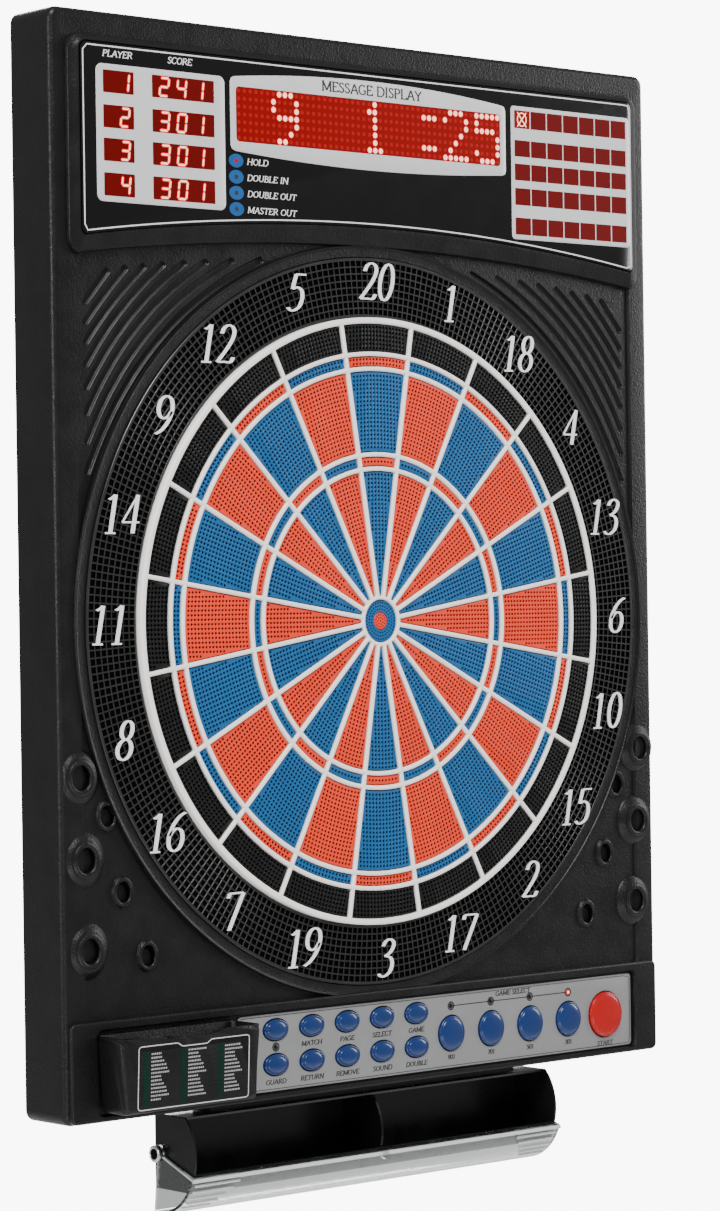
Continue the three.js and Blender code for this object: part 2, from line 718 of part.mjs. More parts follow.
// ---------- inside ----------
function mainBoard(top) {
  const { half, low, high, depth, thick } = MAIN_BOARD;
  const back = top - depth;
  const front = back + thick;
  const board = box(-half, half, low, high, back, front);
  const corners = [-half + 9, half - 9].flatMap((x) => [low + 9, high - 9].map((y) => [x, y]));
  const posts = corners.map(([x, y]) => disc(x, y, 3, front - 0.6, top, 10));
  const chips = [
    box(-30, 6, -30, 6, back - 2.5, front - 0.6),
    box(24, 60, -14, 8, back - 3, front - 0.6),
    box(-60, -44, -50, 12, back - 5, front - 0.6),
  ];
  const socket = box(-CABLE_HALF - 4, CABLE_HALF + 4, low, low + 10, back - 6, front - 0.6);
  part("main_board", join([board, ...posts, ...chips, socket]), circuit);
}

// Flat cable from the contact film, through the backing board's slot, to the main board.
function ribbonCable(boardBack, top) {
  const start = boardBack + BOARD_THICK - 0.5;
  const back = boardBack - 3;
  const path = [
    [start, -232.4],
    [start, -231.6],
    [back, -231.6],
    [back, -74],
    [top - 12, MAIN_BOARD.low - 0.6],
    [top - 12.5, MAIN_BOARD.low - 1.2],
    [back - 0.8, -74.6],
    [back - 0.8, -232.4],
  ];
  part("ribbon_cable", beam(path, -CABLE_HALF, CABLE_HALF), greyRubber);
}

function speaker() {
  const profile = [[0, 20], [22, 20], [22, 26], [26, 36], [28, 36], [28, 38], [24, 38], [0, 34.5]];
  part("speaker", turned(profile, 24, SPEAKER.x, SPEAKER.y), blackRing);
}

// A block about the power jack's axis, a margin larger than the jack on its four sides.
function jackBox(margin, low, high) {
  const { x, z, halfWidth, halfHeight } = JACK;
  const [across, deep] = [halfWidth + margin, halfHeight + margin];
  return box(x - across, x + across, low, high, z - deep, z + deep);
}

function powerJack() {
  const { x, z, depth, bore, pin } = JACK;
  const low = BOTTOM + 0.5;
  const socket = new THREE.CylinderGeometry(bore, bore, 20, 16).translate(x, low, z);
  const body = cut(jackBox(0, low, BOTTOM + depth), [solid(socket)]);
  const contact = box(x - pin, x + pin, low + 1, BOTTOM + depth - 2, z - pin, z + pin);
  part("power_jack", body.add(contact), blackRing);
}

// ---------- storage ----------
// Open-topped pocket in the left end of the panel's recess, a little narrower at its bottom.
function storageBox() {
  const { left, right, low, high, back, front, corner, wall } = POCKET;
  const section = (margin) =>
    roundRect(left + margin, right - margin, back + margin, front - margin, corner - margin / 2, 2);
  // layers run along -y once the skin is turned upright, so a height y is written as -y
  const upright = (points, layers) => solid(layeredSkin(points, layers).rotateX(Math.PI / 2));
  const outer = upright(section(0), [
    [0, -high],
    [2.4, -low - 4],
    [5.4, -low],
  ]);
  const inner = upright(section(wall), [
    [-0.2, -high - 3],
    [0, -high],
    [2.4, -low - 4.5],
    [4, -low - wall - 0.2],
  ]);
  part("storage_box", cut(outer, [inner]), blackCase);
}

// [z, y] points of the tray's section, which is a circle about the pivot with a flat top, floor
// and back, drawn a margin inside its outer skin.
function traySection(margin) {
  const r = TRAY_RADIUS - margin;
  const top = TRAY_TOP - margin;
  const floor = TRAY_FLOOR + margin;
  const from = Math.asin(floor / r);
  const to = Math.asin(top / r);
  const steps = 10;
  const arc = Array.from({ length: steps + 1 }, (_, i) => {
    const a = from + ((to - from) * i) / steps;
    return [PIVOT.z + r * Math.cos(a), PIVOT.y + r * Math.sin(a)];
  });
  return [[0.5 + margin, PIVOT.y + floor], ...arc, [0.5 + margin, PIVOT.y + top]];
}

const pivotRod = (radius, left, right, steps = 16) =>
  solid(
    new THREE.CylinderGeometry(radius, radius, right - left, steps)
      .rotateZ(Math.PI / 2)
      .translate((left + right) / 2, PIVOT.y, PIVOT.z),
  );

function storageTray() {
  const lip = LIP_ANGLE * DEG;
  const inside = TRAY_HALF - TRAY_WALL;
  const mouth = [
    [PIVOT.z + 20, PIVOT.y + 20 * Math.tan(lip)],
    [PIVOT.z + 60, PIVOT.y + 60 * Math.tan(lip)],
    [PIVOT.z + 60, PIVOT.y + TRAY_TOP - TRAY_WALL],
    [PIVOT.z + 20, PIVOT.y + TRAY_TOP - TRAY_WALL],
  ];
  const roof = PIVOT.y + TRAY_TOP - 1;
  const tongue = box(-TONGUE.half, TONGUE.half, roof, BOTTOM - 0.3, TONGUE.back, TONGUE.front);
  const shaft = pivotRod(PIVOT_PIN.shank + 0.3, -TRAY_HALF - 10, TRAY_HALF + 10);
  const body = cut(beam(traySection(0), -TRAY_HALF, TRAY_HALF).add(tongue), [
    beam(traySection(TRAY_WALL), -inside, inside),
    beam(mouth, -inside, inside),
    shaft,
  ]);
  part("storage_tray", body, blackCase);
  part("tray_divider", beam(traySection(TRAY_WALL + GAP), -1, 1), blackCase);

  for (const [name, side] of [["tray_pivot_left", -1], ["tray_pivot_right", 1]]) {
    const across = (a, b) => (side < 0 ? [-b, -a] : [a, b]);
    const outer = TRAY_HALF + 0.5 + COVER.end + 0.4;
    const shank = pivotRod(PIVOT_PIN.shank, ...across(inside + 0.3, outer + 0.5));
    const cap = pivotRod(PIVOT_PIN.cap, ...across(outer, outer + PIVOT_PIN.capLength));
    part(name, shank.add(cap), steel);
  }
}

// Clear cover: a part of a tube round the tray, with end plates that turn on the pivots. It is
// drawn open, swung under the tray, as it stands in use.
function trayCover() {
  const steps = 12;
  const arc = (radius, reverse) => {
    const points = Array.from({ length: steps + 1 }, (_, i) => {
      const a = (COVER.from + ((COVER.to - COVER.from) * i) / steps) * DEG;
      return [PIVOT.z + radius * Math.cos(a), PIVOT.y + radius * Math.sin(a)];
    });
    return reverse ? points.reverse() : points;
  };
  const width = TRAY_HALF + 0.5 + COVER.end;
  const skin = beam([...arc(COVER.outer), ...arc(COVER.inner, true)], -width, width);
  const plate = [[PIVOT.z, PIVOT.y], ...arc(COVER.outer)];
  const ends = [-1, 1].flatMap((side) => {
    const [a, b] = side < 0 ? [-width, -width + COVER.end] : [width - COVER.end, width];
    return [beam(plate, a, b), pivotRod(PIVOT_PIN.cap + 0.1, a, b)];
  });
  const bores = pivotRod(PIVOT_PIN.shank + 0.4, -width - 5, width + 5);
  part("tray_cover", cut(join([skin, ...ends]), [bores]), clear);
}

// ---------- assembly ----------
housing();
backCover();
numberRing();
spider();
missRing();
NUMBERS.forEach(sector);
bulls();
const boardBack = targetStack();
display();
controlPanel();
mainBoard(boardBack - GAP);
ribbonCable(boardBack, boardBack - GAP);
speaker();
powerJack();
storageBox();
storageTray();
trayCover();

const dartboard = new THREE.Group();
dartboard.add(face);

export default dartboard;
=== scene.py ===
"""The looks of a wall-hung electronic dartboard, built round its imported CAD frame.

Shapes are written in face coordinates, in millimetres: x to the right, y up and z forward from
the wall, with the bull's centre at x = 0, y = 0. at() turns them into the frame's metres.
"""

import json
import math

import bmesh
import bpy
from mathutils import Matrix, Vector
from mathutils.geometry import delaunay_2d_cdt


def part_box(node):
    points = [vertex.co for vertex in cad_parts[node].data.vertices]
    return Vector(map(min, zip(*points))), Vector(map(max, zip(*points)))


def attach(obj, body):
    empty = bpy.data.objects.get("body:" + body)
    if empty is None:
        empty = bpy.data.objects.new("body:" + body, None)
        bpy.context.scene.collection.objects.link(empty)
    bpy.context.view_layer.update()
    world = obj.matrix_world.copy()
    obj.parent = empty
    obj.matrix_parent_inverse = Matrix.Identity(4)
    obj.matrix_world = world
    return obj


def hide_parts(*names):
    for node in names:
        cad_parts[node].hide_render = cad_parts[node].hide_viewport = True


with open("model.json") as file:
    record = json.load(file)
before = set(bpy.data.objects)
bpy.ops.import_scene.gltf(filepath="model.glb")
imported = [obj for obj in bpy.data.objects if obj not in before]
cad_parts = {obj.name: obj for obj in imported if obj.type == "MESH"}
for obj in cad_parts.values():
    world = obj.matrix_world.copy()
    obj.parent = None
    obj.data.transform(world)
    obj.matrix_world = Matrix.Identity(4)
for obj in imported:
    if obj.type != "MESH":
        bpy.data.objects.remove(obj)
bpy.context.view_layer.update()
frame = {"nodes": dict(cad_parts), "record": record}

MM = 0.001
CASE = "case"


def at(x, y, z):
    return (x * MM, -z * MM, y * MM)


def face_box(node):
    """A CAD node's box in face coordinates: left, right, low, high, back, front."""
    low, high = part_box(node)
    return [v / MM for v in (low.x, high.x, low.z, high.z, -high.y, -low.y)]


# ---------- dimensions, from the CAD frame where it has them ----------
LEFT, RIGHT, BOTTOM, TOP, _, _ = face_box("front_housing")
WEB_FACE = face_box("spider")[5]
SEGMENT_FACE = face_box("sector_20")[5]
SEGMENT_BACK = face_box("sector_20")[4]
RING_FACE = face_box("number_ring")[5]
RING_RADIUS = face_box("number_ring")[1]
LABEL_FACE = face_box("display_label")[5]
PLATE_FACE = face_box("control_panel")[5]
BORDER_FACE = 46
FLOOR_FACE = 44
SHELL_INSIDE = 41
RECESS = (-271.5, 271.5, -281, 283)
RECESS_CORNER = 12
PODIUM_EDGE = 49.5
BLOCK_FACE = 50
WALL = 3

SECTORS = 20
SECTOR = 2 * math.pi / SECTORS
NUMBERS = [20, 1, 18, 4, 13, 6, 10, 15, 2, 17, 3, 19, 7, 16, 8, 11, 14, 9, 12, 5]
RIB = 3.8
RING_RIBS = [(221.6, 5), (197, RIB), (186, RIB), (123, RIB), (112.4, RIB), (17.3, 3.3)]
PAD_GAP = 0.4
INNER_BULL = 6.3
HOLE_RADIUS = 1.05
HOLE_PITCH = 3.25
ROW_PITCH = 3.1
VALLEY, THREAD = 0.5, 0.3
HOLE_DEPTH = 2.6


# ---------- shapes ----------
def raised(loop, z):
    """A flat loop placed at one height."""
    return [(x, y, z) for x, y in loop]


class Shape:
    """Points and faces of one piece, in face coordinates."""

    def __init__(self):
        self.points, self.faces, self.finishes = [], [], []

    def add(self, points, faces, finish=0):
        base = len(self.points)
        self.points += points
        self.faces += [[base + i for i in face] for face in faces]
        self.finishes += [finish] * len(faces)

    def loft(self, loops, caps=(True, True), ring=False, finish=0):
        """Skin through closed loops of equal length, each anticlockwise seen from the end."""
        count, rows = len(loops[0]), len(loops)
        faces = []
        for row in range(rows if ring else rows - 1):
            a, b = row * count, (row + 1) % rows * count
            for i in range(count):
                j = (i + 1) % count
                faces.append((a + i, a + j, b + j, b + i))
        if caps[0] and not ring:
            faces.append(range(count - 1, -1, -1))
        if caps[1] and not ring:
            faces.append(range((rows - 1) * count, rows * count))
        self.add([p for loop in loops for p in loop], faces, finish)

    def lathe(self, profile, steps, centre=(0, 0), stretch=(1, 1), turn=None, finish=0):
        """A solid of revolution about z, from [radius, z] points that end on the axis, or close."""
        closed = profile[0] == profile[-1]
        rows = profile[:-1] if closed else [p for p in profile if p[0] > 0]
        loops = [
            raised(circle(*centre, r * stretch[0], r * stretch[1], steps), z)
            for r, z in rows
        ]
        base, first = len(self.points), len(self.faces)
        self.loft(loops, (not closed, not closed), closed, finish)
        if turn:
            self.points[base:] = [turn(p) for p in self.points[base:]]
        return first

    def solid(self, loop, low, high, edge=0.0, holes=(), steps=4, finish=0, turn=None):
        """A plate between two heights, with a round front edge and through holes."""
        base = len(self.points)
        arc = [k / steps * math.pi / 2 for k in range(steps + 1)] if edge else [0]
        layers = [(0, low)] + [
            (edge * (1 - math.cos(a)), high - edge * (1 - math.sin(a))) for a in arc
        ]
        loops = [raised(inset(loop, d), z) for d, z in layers]
        self.loft(loops, (not holes, not holes), finish=finish)
        if holes:
            front = [(x, y) for x, y, _ in loops[-1]]
            for z, outline, flip in ((high, front, False), (low, loop, True)):
                points, faces = web(outline, holes)
                faces = [face[::-1] for face in faces] if flip else faces
                self.add(raised(points, z), faces, finish)
            for hole in holes:
                walls = [raised(hole[::-1], z) for z in (low, high)]
                self.loft(walls, (False, False), finish=finish)
        if turn:
            self.points[base:] = [turn(p) for p in self.points[base:]]

    def ribbon(self, path, width, low, high, closed=False, finish=0):
        """A flat strip of one width along a path."""
        left, right = offsets(path, width / 2, width / 2, closed)
        self.strip(left, right, low, high, closed, finish)

    def strip(self, left, right, low, high, closed=False, finish=0):
        if closed:
            corners = ((right, low), (right, high), (left, high), (left, low))
            self.loft([raised(side, z) for side, z in corners], ring=True, finish=finish)
        else:
            outline = right + left[::-1]
            self.loft([raised(outline, z) for z in (low, high)], (False, False), finish=finish)
            n = len(left)
            quads = [(i, i + 1, 2 * n - 2 - i, 2 * n - 1 - i) for i in range(n - 1)]
            self.add(raised(outline, high), quads, finish)
            self.add(raised(outline, low), [q[::-1] for q in quads], finish)

    def piece(self, name, materials, body=CASE, replaces=(), slot=None, crease=35):
        """The finished object, which rides on a body and stands for the named CAD nodes."""
        mesh = bpy.data.meshes.new(name)
        mesh.from_pydata([at(*p) for p in self.points], [], [list(f) for f in self.faces])
        mesh.polygons.foreach_set("material_index", self.finishes)
        for material in materials if isinstance(materials, list) else [materials]:
            mesh.materials.append(material)
        tidy = bmesh.new()
        tidy.from_mesh(mesh)
        bmesh.ops.remove_doubles(tidy, verts=tidy.verts, dist=2e-6)
        bmesh.ops.dissolve_degenerate(tidy, edges=tidy.edges, dist=1e-6)
        tidy.to_mesh(mesh)
        tidy.free()
        mesh.polygons.foreach_set("use_smooth", [True] * len(mesh.polygons))
        mesh.set_sharp_from_angle(angle=math.radians(crease))
        made = bpy.data.objects.new(name, mesh)
        bpy.context.scene.collection.objects.link(made)
        return settle(made, body, replaces)


def settle(made, body=CASE, replaces=()):
    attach(made, body)
    if replaces:
        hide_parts(*replaces)
    return made


def circle(cx, cy, rx, ry, steps, start=0.0):
    angles = (start + k / steps * 2 * math.pi for k in range(steps))
    return [(cx + rx * math.cos(a), cy + ry * math.sin(a)) for a in angles]


def round_rect(x0, x1, y0, y1, r, steps=6):
    corners = [(x1 - r, y0 + r, -90), (x1 - r, y1 - r, 0), (x0 + r, y1 - r, 90), (x0 + r, y0 + r, 180)]
    loop = []
    for cx, cy, start in corners:
        for k in range(steps + 1):
            a = math.radians(start + 90 * k / steps)
            loop.append((cx + r * math.cos(a), cy + r * math.sin(a)))
    return loop


def inset(loop, distance):
    """A loop moved inwards by a distance, corner by corner."""
    if not distance:
        return list(loop)
    moved = []
    for i, p in enumerate(loop):
        p, before, after = Vector(p), Vector(loop[i - 1]), Vector(loop[(i + 1) % len(loop)])
        a, b = (p - before).normalized(), (after - p).normalized()
        inwards = Vector((-a.y - b.y, a.x + b.x)).normalized()
        reach = distance / max(0.3, inwards.dot(Vector((-a.y, a.x))))
        moved.append(tuple(p + inwards * reach))
    return moved


def smooth(points, steps=6, closed=False):
    """A Catmull-Rom curve through the points."""
    pts = [Vector(p) for p in points]
    if not closed:
        pts = [2 * pts[0] - pts[1], *pts, 2 * pts[-1] - pts[-2]]
    count = len(points) if closed else len(points) - 1
    curve = []
    for i in range(count):
        p0, p1, p2, p3 = (pts[(i + k - (1 if closed else 0)) % len(pts)] for k in range(4))
        for k in range(steps):
            t = k / steps
            curve.append(
                tuple(
                    0.5
                    * (
                        2 * p1
                        + (p2 - p0) * t
                        + (2 * p0 - 5 * p1 + 4 * p2 - p3) * t**2
                        + (3 * p1 - p0 - 3 * p2 + p3) * t**3
                    )
                )
            )
    return curve if closed else curve + [tuple(points[-1])]


def offsets(path, broad, narrow, closed=False):
    """The two edges left by an elliptical pen nib, half broad across and half narrow high."""
    left, right = [], []
    n = len(path)
    for i in range(n):
        before = path[i - 1] if i or closed else path[0]
        after = path[(i + 1) % n] if i < n - 1 or closed else path[-1]
        along = (Vector(after) - Vector(before)).normalized()
        across = Vector((-along.y, along.x))
        reach = math.hypot(broad * across.x, narrow * across.y)
        push = Vector((broad**2 * across.x, narrow**2 * across.y)) / reach
        left.append((path[i][0] + push.x, path[i][1] + push.y))
        right.append((path[i][0] - push.x, path[i][1] - push.y))
    return left, right


def inside(point, loop):
    x, y = point
    odd = False
    for (ax, ay), (bx, by) in zip(loop, loop[1:] + loop[:1]):
        if (ay > y) != (by > y) and x < ax + (y - ay) * (bx - ax) / (by - ay):
            odd = not odd
    return odd


def web(outline, holes, loose=()):
    """Triangles of an outline less its holes, which also meet at the loose points."""
    points, edges, owner = [], [], []
    for number, loop in enumerate([outline, *holes]):
        base = len(points)
        points += [Vector(p) for p in loop]
        owner += [number] * len(loop)
        edges += [(base + i, base + (i + 1) % len(loop)) for i in range(len(loop))]
    points += [Vector(p) for p in loose]
    owner += [-1] * len(loose)
    made, _, faces, origin, _, _ = delaunay_2d_cdt(points, edges, [], 1, 1e-5, True)
    keep = []
    for face in faces:
        owners = {owner[origin[i][0]] for i in face if origin[i]}
        number = owners.pop() if len(owners) == 1 else -1
        middle = sum((made[i] for i in face), Vector((0, 0))) / len(face)
        if number > 0 and inside(middle, list(holes[number - 1])):
            continue
        if number == 0 and not inside(middle, list(outline)):
            continue
        keep.append(list(face))
    return [tuple(p) for p in made], keep


# ---------- materials ----------
def material(name, color, roughness, metallic=0.0, coat=0.0, grain=(), shade=0.0, wear=0.0, more=None):
    """A plastic or metal finish: grain is (size in mm, depth in mm), and shade and wear vary the
    colour and the roughness over the surface."""
    made = bpy.data.materials.new(name)
    made.use_nodes = True
    nodes, links = made.node_tree.nodes, made.node_tree.links
    shader = nodes["Principled BSDF"]
    shader.inputs["Base Color"].default_value = (*color, 1)
    shader.inputs["Roughness"].default_value = roughness
    shader.inputs["Metallic"].default_value = metallic
    shader.inputs["Coat Weight"].default_value = coat
    shader.inputs["Coat Roughness"].default_value = 0.04
    for socket, value in (more or {}).items():
        shader.inputs[socket].default_value = value
    place = nodes.new("ShaderNodeTexCoord").outputs["Object"]

    def noise(size, detail):
        texture = nodes.new("ShaderNodeTexNoise")
        texture.inputs["Scale"].default_value = 1000 / size
        texture.inputs["Detail"].default_value = detail
        links.new(place, texture.inputs["Vector"])
        return texture.outputs["Fac"]

    def spread(value, low, high):
        ranged = nodes.new("ShaderNodeMapRange")
        ranged.inputs["From Min"].default_value = 0.3
        ranged.inputs["From Max"].default_value = 0.7
        ranged.inputs["To Min"].default_value = low
        ranged.inputs["To Max"].default_value = high
        links.new(value, ranged.inputs["Value"])
        return ranged.outputs["Result"]

    if shade:
        ramp = nodes.new("ShaderNodeValToRGB")
        ramp.color_ramp.elements[0].position = 0.3
        ramp.color_ramp.elements[1].position = 0.7
        ramp.color_ramp.elements[0].color = (*(c * (1 - shade) for c in color), 1)
        ramp.color_ramp.elements[1].color = (*(min(1, c * (1 + shade)) for c in color), 1)
        links.new(noise(38, 5), ramp.inputs["Fac"])
        links.new(ramp.outputs["Color"], shader.inputs["Base Color"])
    if wear:
        links.new(spread(noise(16, 6), roughness - wear, roughness + wear), shader.inputs["Roughness"])
    if grain:
        bump = nodes.new("ShaderNodeBump")
        bump.inputs["Strength"].default_value = 1
        bump.inputs["Distance"].default_value = grain[1] * MM
        links.new(noise(grain[0], 3), bump.inputs["Height"])
        links.new(bump.outputs["Normal"], shader.inputs["Normal"])
    return made


def glow(name, color, strength, base=(0.02, 0.0, 0.0)):
    made = material(name, base, 0.4, grain=(0.6, 0.006), shade=0.08, more=MATT)
    shader = made.node_tree.nodes["Principled BSDF"]
    shader.inputs["Emission Color"].default_value = (*color, 1)
    shader.inputs["Emission Strength"].default_value = strength
    return made


DULL = {"Specular IOR Level": 0.22}
MATT = {"Specular IOR Level": 0.06}
SOFT = {"Specular IOR Level": 0.3}
CASE_BLACK = material(
    "case_plastic", (0.0048, 0.0048, 0.0052), 0.36, grain=(1.6, 0.32), shade=0.15, wear=0.07, more=DULL
)
SMOOTH_BLACK = material(
    "smooth_black_plastic", (0.003, 0.003, 0.0034), 0.3, grain=(0.8, 0.01), shade=0.1, wear=0.05, more=DULL
)
TRAY_BLACK = material(
    "tray_plastic", (0.006, 0.006, 0.0065), 0.28, grain=(1.2, 0.02), shade=0.1, wear=0.05, more=SOFT
)
RING_BLACK = material("ring_plastic", (0.009, 0.009, 0.010), 0.32, grain=(0.9, 0.01), shade=0.1, wear=0.05)
# Near-black painted shade for the floors and lower walls of holes, pits and bores, the well round each button
# and the recess of each pivot head.
HOLLOW_SHADE_BLACK = material(
    "painted_hollow_shade", (0.0008, 0.0008, 0.0010), 0.6, grain=(0.9, 0.01), shade=0.1, wear=0.05, more=MATT
)
WEB_WHITE = material("web_plastic", (0.86, 0.83, 0.78), 0.38, grain=(0.9, 0.01), shade=0.02, wear=0.05)
BLUE = material(
    "blue_segment", (0.007, 0.085, 0.235), 0.42, grain=(0.7, 0.012), shade=0.06, wear=0.06, more=SOFT
)
RED = material(
    "red_segment", (0.69, 0.038, 0.013), 0.42, grain=(0.7, 0.012), shade=0.05, wear=0.06, more=SOFT
)
BLACK = material(
    "black_segment", (0.0026, 0.0026, 0.003), 0.42, grain=(0.7, 0.012), shade=0.1, wear=0.06, more=DULL
)
NUMERAL = material("numeral_print", (0.80, 0.79, 0.78), 0.5, grain=(0.5, 0.01), shade=0.03, wear=0.05)
GLOSS = material(
    "label_gloss", (0.0018, 0.0018, 0.0022), 0.2, coat=0.25, grain=(60, 0.02), shade=0.1, wear=0.03, more=DULL
)
SILVER = material(
    "label_silver", (0.56, 0.56, 0.57), 0.36, metallic=0.1, grain=(0.4, 0.006), shade=0.03, wear=0.04
)
PLATE = material(
    "panel_silver", (0.24, 0.24, 0.245), 0.36, metallic=0.3, grain=(0.5, 0.008), shade=0.04, wear=0.05
)
PRINT_WHITE = material("print_white", (0.66, 0.66, 0.66), 0.5, grain=(0.3, 0.004), shade=0.02, wear=0.04)
PRINT_GREY = material("print_grey", (0.34, 0.34, 0.34), 0.5, grain=(0.3, 0.004), shade=0.05, wear=0.04)
PRINT_BLACK = material("print_black", (0.006, 0.006, 0.006), 0.5, grain=(0.3, 0.004), shade=0.1, wear=0.04)
PRINT_BLUE = material(
    "print_blue", (0.003, 0.07, 0.24), 0.35, coat=0.3, grain=(0.4, 0.004), shade=0.05, wear=0.04, more=SOFT
)
PRINT_GREEN = material(
    "print_green", (0.002, 0.022, 0.014), 0.45, grain=(0.4, 0.004), shade=0.1, wear=0.04, more=MATT
)
BUTTON_BLUE = material(
    "button_blue", (0.004, 0.022, 0.105), 0.26, coat=0.35,
    grain=(0.8, 0.006), shade=0.05, wear=0.05, more=SOFT,
)
BUTTON_RED = material(
    "button_red", (0.35, 0.005, 0.005), 0.26, coat=0.2, grain=(0.8, 0.006), shade=0.05, wear=0.05, more=DULL
)
LED_ON = glow("led_lit", (1.0, 0.50, 0.38), 3.2)
LED_HALO = glow("led_halo", (1.0, 0.012, 0.014), 1.1, (0.05, 0.001, 0.001))
LED_GLOW = glow("led_window", (0.80, 0.003, 0.004), 0.16, (0.035, 0.0008, 0.0008))
LED_BAR = glow("led_window_bright", (1.0, 0.004, 0.005), 0.27, (0.05, 0.001, 0.001))
LED_DIM = glow("led_window_dim", (0.50, 0.004, 0.004), 0.26, (0.04, 0.001, 0.001))
LED_OFF = glow("led_dot_unlit", (1.0, 0.012, 0.014), 0.50, (0.06, 0.001, 0.001))
STEEL = material("pin_steel", (0.55, 0.55, 0.56), 0.28, metallic=1.0, grain=(0.6, 0.006), wear=0.08)
ZINC = material("screw_zinc", (0.42, 0.42, 0.43), 0.35, metallic=1.0, grain=(0.5, 0.01), wear=0.08)
RUBBER = material("grey_rubber", (0.03, 0.03, 0.033), 0.85, grain=(0.8, 0.05), shade=0.1, wear=0.05)
FILM = material("contact_film", (0.40, 0.45, 0.35), 0.35, grain=(0.8, 0.01), shade=0.08, wear=0.05)
BOARD = material("fibre_board", (0.22, 0.13, 0.07), 0.85, grain=(1.2, 0.1), shade=0.2, wear=0.05)
CIRCUIT = material(
    "circuit_board", (0.01, 0.08, 0.03), 0.4, coat=0.2, grain=(1.5, 0.03), shade=0.2, wear=0.05
)
CLEAR = material(
    "clear_styrene", (0.86, 0.88, 0.89), 0.06, grain=(30, 0.02), wear=0.03,
    more={"Transmission Weight": 1.0, "IOR": 1.55},
)
CLEAR_EDGE = material(
    "clear_styrene_edge", (0.80, 0.82, 0.83), 0.12, grain=(12, 0.02), wear=0.05, coat=0.6,
    more={"Transmission Weight": 0.35, "IOR": 1.55},
)


# ---------- target ----------
def inner_of(rib):
    return rib[0] - rib[1] / 2 - PAD_GAP


def outer_of(rib):
    return rib[0] + rib[1] / 2 + PAD_GAP


def sector_arc(radius, side, steps):
    """Points along a circle between the edges of the top sector, from its right to its left."""
    edge = SECTOR / 2 - math.asin(side / radius)
    angles = (edge * (1 - 2 * k / steps) for k in range(steps + 1))
    return [(radius * math.sin(a), radius * math.cos(a)) for a in angles]


def turned(x, y, index):
    """A point of the top sector turned clockwise to another sector."""
    a = index * SECTOR
    return x * math.cos(a) + y * math.sin(a), y * math.cos(a) - x * math.sin(a)


def pierced_pad(inner, outer, side=RIB / 2 + PAD_GAP):
    """One segment of the top sector: a softened edge, rows of blind holes and a woven relief, whose
    threads stand up between the holes of a row and sink between the rows."""
    steps = max(4, round(outer / 12))
    loop = sector_arc(outer, side, steps) + sector_arc(inner, side, steps)[::-1]
    margin = HOLE_RADIUS + 0.5
    rows = max(1, int((outer - inner - 2 * margin) / ROW_PITCH) + 1)
    first = (inner + outer) / 2 - (rows - 1) * ROW_PITCH / 2
    centres, relief = [], {}

    def spot(r, a):
        return (round(r * math.sin(a), 4), round(r * math.cos(a), 4))

    for row in range(rows):
        r = first + row * ROW_PITCH
        half = (SECTOR / 2 - math.asin((side + margin) / r)) * r
        across = int(half / HOLE_PITCH) if half > 0 else -1
        for k in range(-across, across + 1):
            centres.append(spot(r, k * HOLE_PITCH / r))
            if row < rows - 1:
                relief[spot(r + ROW_PITCH / 2, k * HOLE_PITCH / r)] = -VALLEY
            if k < across:
                relief[spot(r, (k + 0.5) * HOLE_PITCH / r)] = THREAD
    return pierced(loop, centres, relief)


def pierced(loop, centres, relief):
    """A plate with blind holes, and points of its face raised or sunk as the relief says."""
    shape = Shape()
    softened = [
        (0, SEGMENT_BACK + 0.3), (0, SEGMENT_FACE - 0.5),
        (0.12, SEGMENT_FACE - 0.2), (0.4, SEGMENT_FACE),
    ]
    loops = [raised(inset(loop, d), z) for d, z in softened]
    shape.loft(loops, (True, False))
    blind_holes(shape, [(x, y) for x, y, _ in loops[-1]], centres, HOLE_RADIUS, relief)
    return shape


def blind_holes(shape, outline, centres, radius, relief, openings=()):
    """The face of a segment with its blind holes, whose floors and lower walls are painted near-black as
    shade.
    """
    holes = [circle(cx, cy, radius, radius, 8, math.pi / 8) for cx, cy in centres]
    points, faces = web(outline, [*openings, *holes], list(relief))
    rise = {(round(x, 3), round(y, 3)): z for (x, y), z in relief.items()}
    lifted = [(x, y, SEGMENT_FACE + rise.get((round(x, 3), round(y, 3)), 0)) for x, y in points]
    shape.add(lifted, faces)
    for (cx, cy), hole in zip(centres, holes):
        middle, floor = (circle(cx, cy, radius * k, radius * k, 8, math.pi / 8) for k in (0.93, 0.86))
        levels = [(floor, HOLE_DEPTH), (middle, HOLE_DEPTH * 0.35), (hole, 0)]
        walls = [raised(ring[::-1], SEGMENT_FACE - down) for ring, down in levels]
        shape.loft(walls[1:], (False, False))
        # the lower wall and the floor of each hole are painted near-black as shade
        shape.loft(walls[:2], (False, False), finish=1)
        shape.add(raised(floor, SEGMENT_FACE - HOLE_DEPTH), [range(8)], 1)


